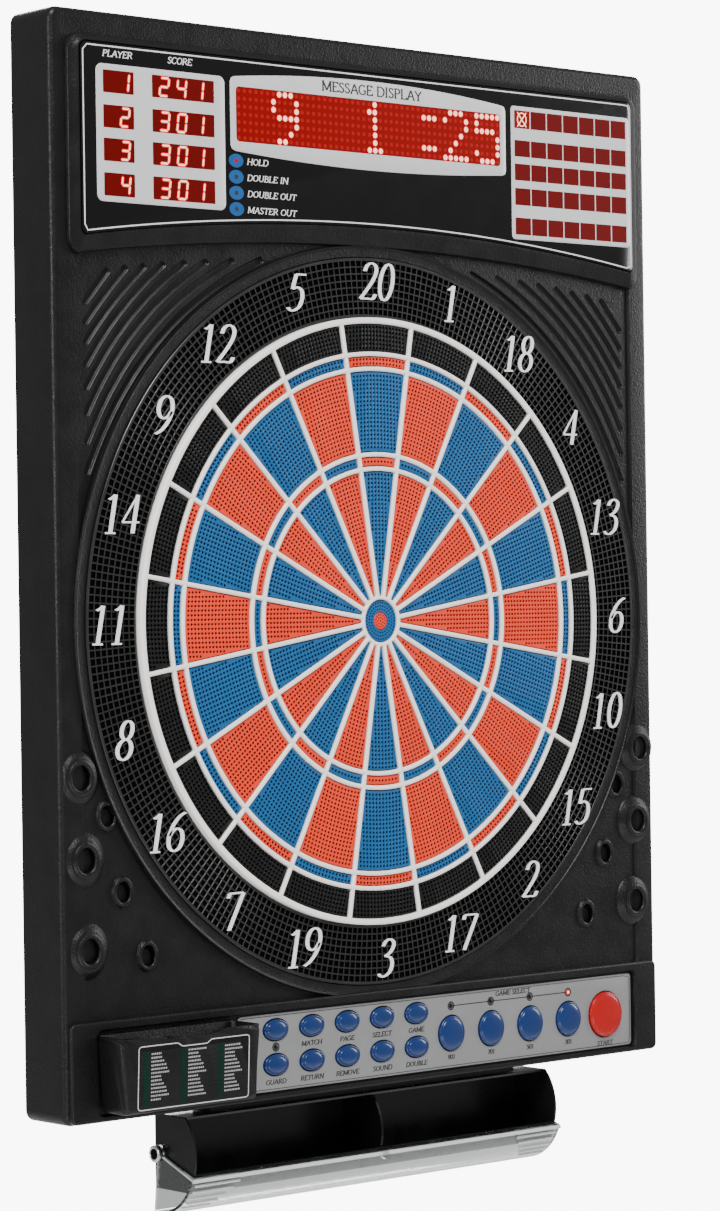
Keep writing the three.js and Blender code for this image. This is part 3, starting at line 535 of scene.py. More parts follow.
def segments():
    _, double_out, double_in, treble_out, treble_in, bull = RING_RIBS
    singles = [
        pierced_pad(outer_of(bull), inner_of(treble_in)),
        pierced_pad(outer_of(treble_out), inner_of(double_in)),
    ]
    multiples = [
        pierced_pad(outer_of(treble_in), inner_of(treble_out)),
        pierced_pad(outer_of(double_in), inner_of(double_out)),
    ]
    miss = [pierced_pad(outer_of(double_out), inner_of(RING_RIBS[0]))]

    def place(pads, index, shape):
        for pad in pads:
            points = [(*turned(x, y, index), z) for x, y, z in pad.points]
            first = len(shape.faces)
            shape.add(points, pad.faces)
            shape.finishes[first:] = pad.finishes

    misses = Shape()
    for index, number in enumerate(NUMBERS):
        node = f"sector_{number:02d}"
        odd = index % 2
        single, multiple = Shape(), Shape()
        place(singles, index, single)
        place(multiples, index, multiple)
        place(miss, index, misses)
        names = ("segment_red", "segment_blue")
        finishes = ([RED, HOLLOW_SHADE_BLACK], [BLUE, HOLLOW_SHADE_BLACK])
        single.piece(f"singles_{number:02d}", finishes[1 - odd], node, [node], names[1 - odd], 60)
        multiple.piece(f"multiples_{number:02d}", finishes[odd], node, slot=names[odd], crease=60)
    misses.piece("miss_segments", [BLACK, HOLLOW_SHADE_BLACK], replaces=["miss_ring"], slot="segment_black", crease=60)


def ring_holes(radii, pitch):
    centres = []
    for row, r in enumerate(radii):
        count = max(1, round(2 * math.pi * r / pitch))
        centres += circle(0, 0, r, r, count, row * math.pi / count)
    return centres


def bulls():
    """The two bull segments: a ring and a disc, with rings of fine blind holes."""
    low = SEGMENT_BACK + 0.3
    outer = inner_of(RING_RIBS[5])
    hole = INNER_BULL + PAD_GAP
    ring, disc = Shape(), Shape()
    opening = circle(0, 0, hole, hole, 48)
    edge = circle(0, 0, outer - 0.3, outer - 0.3, 96)
    blind_holes(ring, edge, ring_holes((8.7, 11.1, 13.5), 2.35), 0.72, {}, [opening])
    ring.loft([raised(opening[::-1], z) for z in (low, SEGMENT_FACE)], (False, False))
    edge = circle(0, 0, INNER_BULL - 0.4, INNER_BULL - 0.4, 40)
    blind_holes(disc, edge, ring_holes((0, 2.5, 4.6), 2.2), 0.68, {})
    for shape, radius, soft, steps in ((ring, outer, 0.3, 96), (disc, INNER_BULL, 0.4, 40)):
        levels = ((radius, low), (radius, SEGMENT_FACE - soft), (radius - soft, SEGMENT_FACE))
        shape.loft([raised(circle(0, 0, r, r, steps), z) for r, z in levels], (False, False))
    ring.piece("bull_outer", [BLUE, HOLLOW_SHADE_BLACK], "outer_bull", ["outer_bull"], "segment_blue")
    disc.piece("bull_inner", [RED, HOLLOW_SHADE_BLACK], "inner_bull", ["inner_bull"], "segment_red")


def rounded_rib(width, low, high, radius=1.3, steps=4):
    """Half-section of a rib, as [offset across, height] points from one foot to the other."""
    half = width / 2
    corner = [(half - radius, high - radius, k / steps * math.pi / 2) for k in range(steps + 1)]
    right = [(cx + radius * math.cos(a), cz + radius * math.sin(a)) for cx, cz, a in corner]
    return [(half, low)] + right + [(-x, z) for x, z in right[::-1]] + [(-half, low)]


def spider():
    """White web: rings and radial ribs with round tops, a little slimmer than the gaps they fill."""
    shape = Shape()
    low = SEGMENT_BACK + 2
    slim = 0.5
    for radius, width in RING_RIBS:
        section = rounded_rib(width - slim, low, WEB_FACE)
        profile = [(radius + x, z) for x, z in section]
        shape.lathe([*profile, profile[0]], 160 if radius > 50 else 72)
    inner, outer = RING_RIBS[5][0], RING_RIBS[0][0]
    section = rounded_rib(RIB - slim, low, WEB_FACE - 0.05)
    for index in range(SECTORS):
        loops = []
        for r in (inner, outer):
            spin = [turned(x, r, index + 0.5) for x, _ in section]
            loops.append([(x, y, z) for (x, y), (_, z) in zip(spin, section)])
        shape.loft([loop[::-1] for loop in loops])
    low, high = face_box("spider")[4], WEB_FACE - 5
    skirt = [(outer + 1.8, low), (outer + 1.8, high), (outer - 1.8, high), (outer - 1.8, low)]
    shape.lathe([*skirt, skirt[0]], 120)
    shape.piece("spider_web", WEB_WHITE, replaces=["spider"], slot="web_white", crease=50)


def number_ring():
    """Ring of small square pits between ribs, under the numerals."""
    shape = Shape()
    inner, outer = RING_RIBS[0][0] + RING_RIBS[0][1] / 2 + 0.5, RING_RADIUS
    rows, columns = 8, 15 * SECTORS
    first, last = inner + 1.2, outer - 1.8
    pitch = (last - first) / rows
    rib, depth, chamfer = 0.8, 1.5, 0.12

    def cell(r0, r1, a0, a1, z):
        corners = ((r0, a0), (r1, a0), (r1, a1), (r0, a1))
        return [(r * math.cos(a), r * math.sin(a), z) for r, a in corners]

    def pit(row, column):
        r0, r1 = first + row * pitch, first + (row + 1) * pitch
        a0, a1 = (2 * math.pi * (column + k) / columns for k in (0, 1))
        loops = []
        slope = rib / 2 + chamfer
        for margin, z in ((0, 0), (rib / 2, 0), (slope, -chamfer), (slope + 0.1, -depth)):
            turn = margin / (r0 + r1) * 2
            loops.append(cell(r0 + margin, r1 - margin, a0 + turn, a1 - turn, RING_FACE + z))
        shape.loft(loops[:3], (False, False))
        # the lower walls and the floors of the pits are painted near-black as shade
        shape.loft(loops[2:], (False, True), finish=1)

    for row in range(rows):
        for column in range(columns):
            pit(row, column)
    back = RING_FACE - 2.4
    rim = [
        (last, RING_FACE), (outer - 0.9, RING_FACE + 0.15), (outer - 0.4, RING_FACE + 0.1),
        (outer, RING_FACE - 0.3), (outer, back), (inner, back), (inner, RING_FACE - 0.2),
        (inner + 0.3, RING_FACE), (first, RING_FACE),
    ]
    loops = [raised(circle(0, 0, r, r, columns), z) for r, z in rim]
    shape.loft(loops[::-1], (False, False))
    materials = [RING_BLACK, HOLLOW_SHADE_BLACK]
    shape.piece("number_ring_grid", materials, replaces=["number_ring"], slot="ring_black", crease=25)


# Pen strokes of the characters in a cell 1 high: (cell's width, strokes). Straight strokes keep
# their corners and curved ones pass smoothly through their points. The letters also have stems,
# which run from foot to top with a serif at each end.
STRAIGHT, THIN, CURVED, LOOP = "straight", "thin", "curved", "loop"


def oval(cx, cy, rx, ry):
    return (LOOP, circle(cx, cy, rx, ry, 24))


def line(x0, y0, x1, y1):
    """A straight stroke."""
    return STRAIGHT, [(x0, y0), (x1, y1)]


def thin_line(x0, y0, x1, y1):
    """A slender straight stroke."""
    return THIN, [(x0, y0), (x1, y1)]


def stem(x, low=0.0, high=1.0):
    """A vertical stroke with a serif at each end that reaches the foot or the top."""
    serifs = [line(x - 0.1, y, x + 0.1, y) for y in (low, high) if y in (0.0, 1.0)]
    return [line(x, low, x, high), *serifs]


SIX = [
    (0.43, 0.98), (0.28, 0.88), (0.14, 0.66), (0.07, 0.38), (0.11, 0.12), (0.25, 0.01),
    (0.39, 0.09), (0.44, 0.30), (0.39, 0.50), (0.27, 0.58), (0.15, 0.52), (0.085, 0.40),
]
BOW = [
    (0.60, 0.80), (0.50, 0.95), (0.33, 1.0), (0.12, 0.80),
    (0.06, 0.5), (0.12, 0.2), (0.33, 0.0), (0.50, 0.05),
]
EYE = [(0.12, 1.0), (0.40, 0.98), (0.53, 0.75), (0.40, 0.51), (0.12, 0.49)]
GLYPHS = {
    "0": (0.5, [oval(0.25, 0.5, 0.185, 0.49)]),
    "1": (0.5, [
        line(0.25, 0.98, 0.25, 0.03),
        (CURVED, [(0.10, 0.86), (0.19, 0.91), (0.25, 0.98)]),
        line(0.12, 0.015, 0.38, 0.015),
    ]),
    "2": (0.5, [
        (CURVED, [(0.07, 0.77), (0.12, 0.92), (0.24, 0.99), (0.37, 0.92), (0.41, 0.76), (0.34, 0.52),
                  (0.19, 0.25), (0.05, 0.03)]),
        (CURVED, [(0.05, 0.03), (0.25, 0.035), (0.41, 0.035), (0.47, 0.16)]),
    ]),
    "3": (0.5, [
        (CURVED, [(0.08, 0.82), (0.14, 0.94), (0.25, 0.99), (0.37, 0.92), (0.39, 0.78), (0.31, 0.63),
                  (0.18, 0.55)]),
        (CURVED, [(0.18, 0.55), (0.34, 0.50), (0.42, 0.34), (0.39, 0.14), (0.26, 0.02), (0.13, 0.02),
                  (0.05, 0.09)]),
    ]),
    "4": (0.5, [
        thin_line(0.34, 0.98, 0.03, 0.29),
        line(0.03, 0.29, 0.47, 0.29),
        line(0.34, 0.98, 0.34, 0.01),
    ]),
    "5": (0.5, [
        line(0.15, 0.97, 0.43, 0.97),
        line(0.15, 0.97, 0.10, 0.58),
        (CURVED, [(0.10, 0.58), (0.24, 0.63), (0.37, 0.54), (0.41, 0.34), (0.36, 0.13), (0.23, 0.02),
                  (0.11, 0.02), (0.04, 0.09)]),
    ]),
    "6": (0.5, [(CURVED, SIX)]),
    "7": (0.5, [
        line(0.06, 0.84, 0.08, 0.96),
        line(0.08, 0.96, 0.46, 0.96),
        line(0.46, 0.96, 0.20, 0.01),
    ]),
    "8": (0.5, [oval(0.25, 0.75, 0.14, 0.235), oval(0.25, 0.265, 0.18, 0.255)]),
    "9": (0.5, [(CURVED, [(0.5 - x, 1 - y) for x, y in SIX])]),
    "A": (0.74, [
        line(0.07, 0.0, 0.36, 1.0),
        line(0.38, 1.0, 0.67, 0.0),
        line(0.18, 0.35, 0.56, 0.35),
        line(0.0, 0.0, 0.16, 0.0),
        line(0.58, 0.0, 0.76, 0.0),
    ]),
    "B": (0.64, [
        *stem(0.12),
        (CURVED, [(0.12, 1.0), (0.36, 0.98), (0.48, 0.77), (0.36, 0.55), (0.12, 0.53)]),
        (CURVED, [(0.12, 0.53), (0.42, 0.50), (0.56, 0.27), (0.42, 0.02), (0.12, 0.0)]),
    ]),
    "C": (0.68, [(CURVED, [*BOW, (0.62, 0.2)])]),
    "D": (0.76, [
        *stem(0.12),
        (CURVED, [(0.12, 1.0), (0.45, 0.97), (0.66, 0.72), (0.66, 0.3), (0.45, 0.03), (0.12, 0.0)]),
    ]),
    "E": (0.62, [
        *stem(0.12),
        (STRAIGHT, [(0.12, 0.99), (0.52, 0.99), (0.54, 0.82)]),
        line(0.12, 0.52, 0.44, 0.52),
        (STRAIGHT, [(0.12, 0.01), (0.54, 0.01), (0.57, 0.18)]),
    ]),
    "G": (0.74, [
        (CURVED, [*BOW, (0.62, 0.12)]),
        line(0.62, 0.42, 0.62, 0.06),
        line(0.46, 0.42, 0.70, 0.42),
    ]),
    "H": (0.80, [*stem(0.12), *stem(0.66), line(0.12, 0.52, 0.66, 0.52)]),
    "I": (0.34, stem(0.16)),
    "L": (0.60, [*stem(0.12), (STRAIGHT, [(0.12, 0.01), (0.53, 0.01), (0.56, 0.2)])]),
    "M": (0.94, [
        *stem(0.12),
        *stem(0.80),
        line(0.12, 1.0, 0.46, 0.08),
        line(0.46, 0.08, 0.80, 1.0),
    ]),
    "N": (0.82, [*stem(0.12), *stem(0.68), line(0.12, 1.0, 0.68, 0.02)]),
    "O": (0.78, [oval(0.38, 0.5, 0.31, 0.50)]),
    "P": (0.62, [*stem(0.12), (CURVED, EYE)]),
    "R": (0.70, [*stem(0.12), (CURVED, EYE), line(0.30, 0.49, 0.64, 0.0)]),
    "S": (0.54, [
        (CURVED, [(0.44, 0.82), (0.33, 0.98), (0.16, 0.95), (0.09, 0.76), (0.22, 0.57), (0.38, 0.42),
                  (0.45, 0.23), (0.33, 0.02), (0.16, 0.02), (0.06, 0.2)]),
    ]),
    "T": (0.68, [
        (STRAIGHT, [(0.04, 0.84), (0.06, 0.99), (0.60, 0.99), (0.62, 0.84)]),
        *stem(0.33, 0.0, 0.99),
    ]),
    "U": (0.80, [
        (CURVED, [
            (0.12, 1.0), (0.12, 0.6), (0.14, 0.2), (0.36, 0.0), (0.58, 0.12), (0.64, 0.5), (0.64, 1.0),
        ]),
        line(0.02, 1.0, 0.22, 1.0),
        line(0.56, 1.0, 0.74, 1.0),
    ]),
    "V": (0.72, [line(0.05, 1.0, 0.36, 0.0), line(0.36, 0.0, 0.66, 1.0)]),
    "Y": (0.68, [
        line(0.04, 1.0, 0.33, 0.48),
        line(0.33, 0.48, 0.62, 1.0),
        *stem(0.33, 0.0, 0.48),
    ]),
    " ": (0.34, []),
}


def write(shape, text, x, y, height, pen, heights, stretch=1.0, slant=0.2, align=0.5):
    """Draws a word about (x, y) with an elliptical nib; align 0 starts it there, 0.5 centres it."""
    size = height * stretch
    left = x - align * size * sum(GLYPHS[letter][0] for letter in text)
    for letter in text:
        width, strokes = GLYPHS[letter]
        for order, (kind, points) in enumerate(strokes):
            placed = [
                (left + u * size + slant * (v - 0.5) * height, y + (v - 0.5) * height) for u, v in points
            ]
            if kind == CURVED:
                placed = smooth(placed, 5)
            elif kind in (STRAIGHT, THIN):
                placed = split(placed, 3)
            nib = (pen[1], pen[1]) if kind == THIN else pen
            low, high = heights
            edges = offsets(placed, *nib, kind == LOOP)
            shape.strip(*edges, low, high + 0.012 * order, kind == LOOP)
        left += width * size


# How far some numerals sit off their even places round the ring.
NUMERAL_SHIFTS = {
    20: (3.4, 0.6), 5: (2.2, 1.6), 12: (-3.0, -3.0), 9: (3.2, 0), 7: (3.8, -4.3), 8: (0, -3.6), 2: (5.8, 0),
    3: (3.2, -1.2), 10: (0, 2.4), 15: (0, -1.7),
}


def numerals():
    shape = Shape()
    heights = (RING_FACE - 0.3, RING_FACE + 0.5)
    for index, number in enumerate(NUMBERS):
        x, y = turned(0, 249, index)
        aside, up = NUMERAL_SHIFTS.get(number, (0, 0))
        write(shape, str(number), x + 1.5 + aside, y + 1 + up, 27.6, (1.6, 0.62), heights, stretch=1.2)
    shape.piece("numerals", NUMERAL, slot="web_white")


def split(points, steps):
    """A straight path with extra points along each leg."""
    path = []
    for (ax, ay), (bx, by) in zip(points, points[1:]):
        path += [(ax + (bx - ax) * k / steps, ay + (by - ay) * k / steps) for k in range(steps)]
    return [*path, points[-1]]


# ---------- cabinet ----------
def display_loop(half, top, ends, middle, corner, steps=40):
    """Outline of the display field, whose lower edge is a shallow arch."""
    rise = middle - ends
    radius = (half**2 + rise**2) / (2 * rise)
    spread = math.asin((half - corner) / radius)
    arch = []
    for k in range(steps + 1):
        a = spread * (2 * k / steps - 1)
        arch.append((radius * math.sin(a), middle - radius * (1 - math.cos(a))))
    right = []
    for cy, start in ((ends + corner, -75), (top - corner, 0)):
        end = 0 if start < 0 else 90
        for k in range(7):
            a = math.radians(start + (end - start) * k / 6)
            right.append((half - corner + corner * math.cos(a), cy + corner * math.sin(a)))
    right = [(x, y) for x, y in right if y > arch[-1][1] or x > arch[-1][0]]
    return arch + right + [(-x, y) for x, y in right[::-1]]


LABEL_LOOP = display_loop(269.3, 403.5, 270.5, 290.5, 5)


def housing_shell():
    """Outer wall of the case with its rounded bezel and the edge of the recess."""
    shape = Shape()
    outline = round_rect(LEFT, RIGHT, BOTTOM, TOP, 8)
    edge = 4.5
    layers = [(WALL, 3.3), (WALL, 0), (0.4, 0), (0, 0.4)]
    for k in range(7):
        a = k / 6 * math.pi / 2
        layers.append((edge * (1 - math.cos(a)), BORDER_FACE - edge * (1 - math.sin(a))))
    loops = [raised(inset(outline, d), z) for d, z in layers]
    shape.loft(loops, (True, False))
    front = [(x, y) for x, y, _ in loops[-1]]
    opening = round_rect(*RECESS, RECESS_CORNER)
    points, faces = web(front, [opening])
    shape.add(raised(points, BORDER_FACE), faces)
    steps = [(0, BORDER_FACE), (0.25, BORDER_FACE - 0.3), (0.9, FLOOR_FACE + 0.25), (1.3, FLOOR_FACE - 0.05)]
    walls = [raised(inset(opening, d)[::-1], z) for d, z in steps]
    shape.loft(walls[::-1], (False, False))
    shape.piece("housing_shell", CASE_BLACK, replaces=["front_housing"], slot="case_black", crease=40)


GROOVE_X = 261.7
GROOVES = [
    (225, 242.3, 247), (211, 226.5, 249.7), (197, 210, 251.6), (181.5, 193, 253.9),
    (165.3, 174, 255.8), (147.6, 154.4, 257.6), (128.2, 130.3, 259.5), (107, 104, 261.3),
]
GROOVE_WIDTH, GROOVE_DEPTH, GROOVE_BULGE = 4.6, 2.0, 0.102


def groove_loop(side, low, x, y, order, width):
    """A groove from the outer edge to the display, bowed round the target, with round ends."""
    a, b = Vector((side * GROOVE_X, low)), Vector((side * x, y))
    along = b - a
    outward = Vector((along.y, -along.x)).normalized()
    if outward.dot(a) < 0:
        outward.negate()
    bow = GROOVE_BULGE * order / (len(GROOVES) - 1) * along.length * 4
    steps = 14
    path = [tuple(a + along * t + outward * bow * t * (1 - t)) for t in (k / steps for k in range(steps + 1))]
    left, right = offsets(path, width / 2, width / 2)
    loop = right + end_cap(path[-1], right[-1]) + left[::-1] + end_cap(path[0], left[0])
    area = sum(p[0] * q[1] - q[0] * p[1] for p, q in zip(loop, loop[1:] + loop[:1]))
    return loop if area > 0 else loop[::-1]


def end_cap(centre, start, steps=6):
    """Points round the end of a groove, from one edge to the other."""
    a = math.atan2(start[1] - centre[1], start[0] - centre[0])
    r = math.dist(start, centre)
    return [
        (centre[0] + r * math.cos(a + math.pi * k / steps), centre[1] + r * math.sin(a + math.pi * k / steps))
        for k in range(1, steps)
    ]


HOLDER_BORE = 5.25
HOLDER_STRETCH = 1.3
HOLDERS = [
    (274, -104, True), (250, -131.5, False), (270.5, -161, True),
    (237, -185, False), (268, -224, True), (216, -231, False),
]


def housing_floor():
    """Floor of the recess: the sheet with its grooves, the target's opening and the bores."""
    shape = Shape()
    grooves, lips = [], []
    for side in (-1, 1):
        for order, (low, x, y) in enumerate(GROOVES):
            grooves.append(groove_loop(side, low, x, y, order, GROOVE_WIDTH))
            lips.append(groove_loop(side, low, x, y, order, GROOVE_WIDTH + 1.2))
    mouths = [
        circle(side * x, y, 8, 10, 24)
        for side in (-1, 1)
        for x, y, broad in HOLDERS
        if not broad
    ]
    target = circle(0, 0, RING_RADIUS + 1, RING_RADIUS + 1, 160)
    outline = round_rect(-276, 276, -284, 286, 10)
    points, faces = web(outline, [target, *lips, *mouths])
    shape.add(raised(points, FLOOR_FACE), faces)
    for lip, groove in zip(lips, grooves):
        depth = FLOOR_FACE - GROOVE_DEPTH
        layers = [(inset(groove, 0.5), depth), (inset(groove, 0.1), depth + 0.4), (groove, FLOOR_FACE - 0.5)]
        layers.append((lip, FLOOR_FACE))
        shape.loft([raised(loop[::-1], z) for loop, z in layers], (False, False))
        shape.add(raised(inset(groove, 0.5), depth), [range(len(groove))])
    back = SHELL_INSIDE + 0.6
    points, faces = web(outline, [target])
    shape.add(raised(points, back), [f[::-1] for f in faces])
    shape.loft([raised(outline, z) for z in (back, FLOOR_FACE)], (False, False))
    shape.loft([raised(target[::-1], z) for z in (back, FLOOR_FACE)], (False, False))
    shape.piece("housing_floor", CASE_BLACK, slot="case_black", crease=22)


def dart_holders():
    """Mouths of the slanted bores: an oval lip each, on a mound under the broad ones."""
    shape = Shape()
    steps = 48
    limit = RIGHT - 2.5

    def bore(x, y, radius, depth):
        points = circle(x, y, radius, radius * HOLDER_STRETCH, steps)
        return [(px, py - depth, FLOOR_FACE - depth) for px, py in points]

    def level(x, y, rx, stretch, rise):
        points = circle(x, y, rx, rx * stretch, steps)
        return [(max(-limit, min(limit, px)), py, FLOOR_FACE + rise) for px, py in points]

    for side in (-1, 1):
        for cx, y, broad in HOLDERS:
            x = side * cx
            if broad:
                stretch = 1.1
                profile = [
                    (18.4, -0.4), (18.0, 0.3), (17.0, 1.2), (13.6, 3.7), (12.9, 4.1), (12.0, 4.3),
                    (11.2, 4.4), (10.6, 5.1), (9.9, 5.4), (9.0, 5.3), (8.2, 4.7), (7.6, 3.4),
                ]
            else:
                stretch = 1.22
                profile = [
                    (9.6, -0.2), (9.1, 0.5), (8.5, 1.9), (8.0, 2.4), (7.2, 2.5), (6.4, 2.1), (5.9, 1.1),
                ]
            shape.loft([level(x, y, r, stretch, rise) for r, rise in profile], (False, False))
            mouth, depth = profile[-1]
            # the throat of each bore, from its mouth down, is painted near-black as shade
            throat = [level(x, y, mouth, stretch, depth), bore(x, y, mouth * 0.92, 1)]
            throat += [bore(x, y, HOLDER_BORE, deep) for deep in (5, 30)]
            shape.loft(throat, (False, True), finish=1)
    shape.piece("dart_holders", [CASE_BLACK, HOLLOW_SHADE_BLACK], slot="case_black", crease=50)


def target_rim():
    """Rim of the housing round the number ring: a thin crest outside a flat, lower land."""
    shape = Shape()
    r = RING_RADIUS + 0.4
    land = RING_FACE - 0.9
    profile = [
        (r, SHELL_INSIDE + 0.6), (277.4, SHELL_INSIDE + 0.6), (277.2, land), (276.8, RING_FACE - 0.1),
        (276.3, RING_FACE + 0.2), (275.7, RING_FACE), (275.1, land + 0.2), (274.4, land), (r + 0.3, land),
        (r, land - 0.3), (r, SHELL_INSIDE + 0.6),
    ]
    shape.lathe(profile, 200)
    shape.piece("target_rim", CASE_BLACK, slot="case_black", crease=30)


def display_podium():
    """Raised field of the display: a round edge, a sloped lip and the seat of the label."""
    shape = Shape()
    outer = display_loop(278, 409.5, 257, 276, 11)
    edge = inset(outer, 2.2)
    count = len(outer)
    seat = display_loop(270.4, 404.6, 269.3, 289.4, 6)
    seat = seat if len(seat) == count else resample(seat, count)

    def blend(t):
        return [(a[0] + (b[0] - a[0]) * t, a[1] + (b[1] - a[1]) * t) for a, b in zip(edge, seat)]

    rise = LABEL_FACE - 0.35 - PODIUM_EDGE
    layers = [
        (outer, FLOOR_FACE - 1), (outer, PODIUM_EDGE - 1.6), (inset(outer, 0.5), PODIUM_EDGE - 0.6),
        (edge, PODIUM_EDGE),
        *((blend(k), PODIUM_EDGE + rise * up) for k, up in ((0.35, 0.30), (0.7, 0.72), (0.93, 0.98))),
        (seat, PODIUM_EDGE + rise), (inset(seat, 0.8), LABEL_FACE - 1.6),
    ]
    shape.loft([raised(loop, z) for loop, z in layers], (True, True))
    shape.piece("display_podium", CASE_BLACK, slot="case_black", crease=40)


def resample(loop, count):
    """The loop with the given number of points, evenly spaced from its first."""
    lengths = [math.dist(p, q) for p, q in zip(loop, loop[1:] + loop[:1])]
    total, made, walked, i = sum(lengths), [], 0.0, 0
    for k in range(count):
        goal = total * k / count
        while walked + lengths[i] < goal:
            walked += lengths[i]
            i += 1
        t = (goal - walked) / lengths[i]
        p, q = loop[i], loop[(i + 1) % len(loop)]
        made.append((p[0] + (q[0] - p[0]) * t, p[1] + (q[1] - p[1]) * t))
    return made


def control_block():
    """Raised block under the target, with the sunk seat of the control plate."""
    shape = Shape()
    outline = round_rect(-287, 287, BOTTOM + 1, -272.5, 5)
    seat = round_rect(-265, 264.5, BOTTOM + 4.6, -278.5, 5)
    edge = 1.8
    layers = [(outline, SHELL_INSIDE + 1)]
    for k in range(6):
        a = k / 5 * math.pi / 2
        layers.append((inset(outline, edge * (1 - math.cos(a))), BLOCK_FACE - edge * (1 - math.sin(a))))
    shape.loft([raised(loop, z) for loop, z in layers], (True, False))
    points, faces = web(layers[-1][0], [seat])
    shape.add(raised(points, BLOCK_FACE), faces)
    floor = PLATE_FACE - 1.3
    down = [(seat, BLOCK_FACE), (inset(seat, 0.3), BLOCK_FACE - 0.5), (inset(seat, 1.2), floor)]
    shape.loft([raised(loop[::-1], z) for loop, z in down[::-1]], (False, False))
    shape.add(raised(inset(seat, 1.2), floor), [range(len(seat))])
    shape.piece("control_block", CASE_BLACK, slot="case_black", crease=40)


# ---------- display ----------
def print_on(shape, loop, height=0.12, finish=0):
    """A thin printed patch on the label."""
    shape.solid(loop, LABEL_FACE - 0.05, LABEL_FACE + height, finish=finish)


SEVEN = {
    "0": "abcdef", "1": "bc", "2": "abged", "3": "abgcd", "4": "fgbc", "5": "afgcd",
    "6": "afgedc", "7": "abc", "8": "abcdefg", "9": "abcdfg",
}


def seven_segment(shape, halo, digit, cx, cy, width, height, z):
    """Lit bars of one seven-segment digit, which leans to the right, each in a broader halo."""
    lean, bar, gap = 0.12, height * 0.105, height * 0.03
    w, h = width / 2, height / 2
    ends = {
        "a": ((-w, h), (w, h)), "g": ((-w, 0), (w, 0)), "d": ((-w, -h), (w, -h)),
        "f": ((-w, 0), (-w, h)), "b": ((w, 0), (w, h)), "e": ((-w, -h), (-w, 0)), "c": ((w, -h), (w, 0)),
    }
    for name in SEVEN[digit]:
        (ax, ay), (bx, by) = ends[name]
        along = Vector((bx - ax, by - ay)).normalized()
        across = Vector((-along.y, along.x)) * bar / 2
        a, b = Vector((ax, ay)) + along * gap, Vector((bx, by)) - along * gap
        tip = along * bar / 2
        loop = [a, a + tip - across, b - tip - across, b, b - tip + across, a + tip + across]
        placed = [(cx + p.x + lean * p.y, cy + p.y) for p in loop]
        shape.solid(placed, z, z + 0.1)
        halo.solid(inset(placed, -0.75), z - 0.06, z + 0.03)


ROWS = [(385.1, 369.4), (361, 345.1), (337.9, 322), (314, 297.9)]
PLAYER_X, SCORE_X = (-250.4, -223.5), (-207.5, -151.8)
MATRIX = (-132.0, 127.2, 344, 383.4)
MARK_ROWS = [(388.6, 374.1), (365.8, 352.4), (347.8, 334.2), (329.2, 315.3), (306.6, 292.7)]
MARK_X, MARK_COLUMNS = (141.7, 263.3), 7
DOTS = {
    "9": ["01110", "10001", "10001", "01111", "00001", "00010", "01100"],
    "1": ["00100", "01100", "00100", "00100", "00100", "00100", "01110"],
    "2": ["01110", "10001", "00001", "00010", "00100", "01000", "11111"],
    "5": ["11111", "10000", "11110", "00001", "00001", "10001", "01110"],
    "=": ["00000", "01110", "00000", "00000", "00000", "01110", "00000"],
}
MATRIX_COLUMNS, MATRIX_ROWS = 48, 7
INDICATORS_FROM, INDICATOR_PITCH = 330.2, 11.5
MESSAGE = [("9", 6), ("1", 22), ("=", 32), ("2", 37), ("5", 43)]


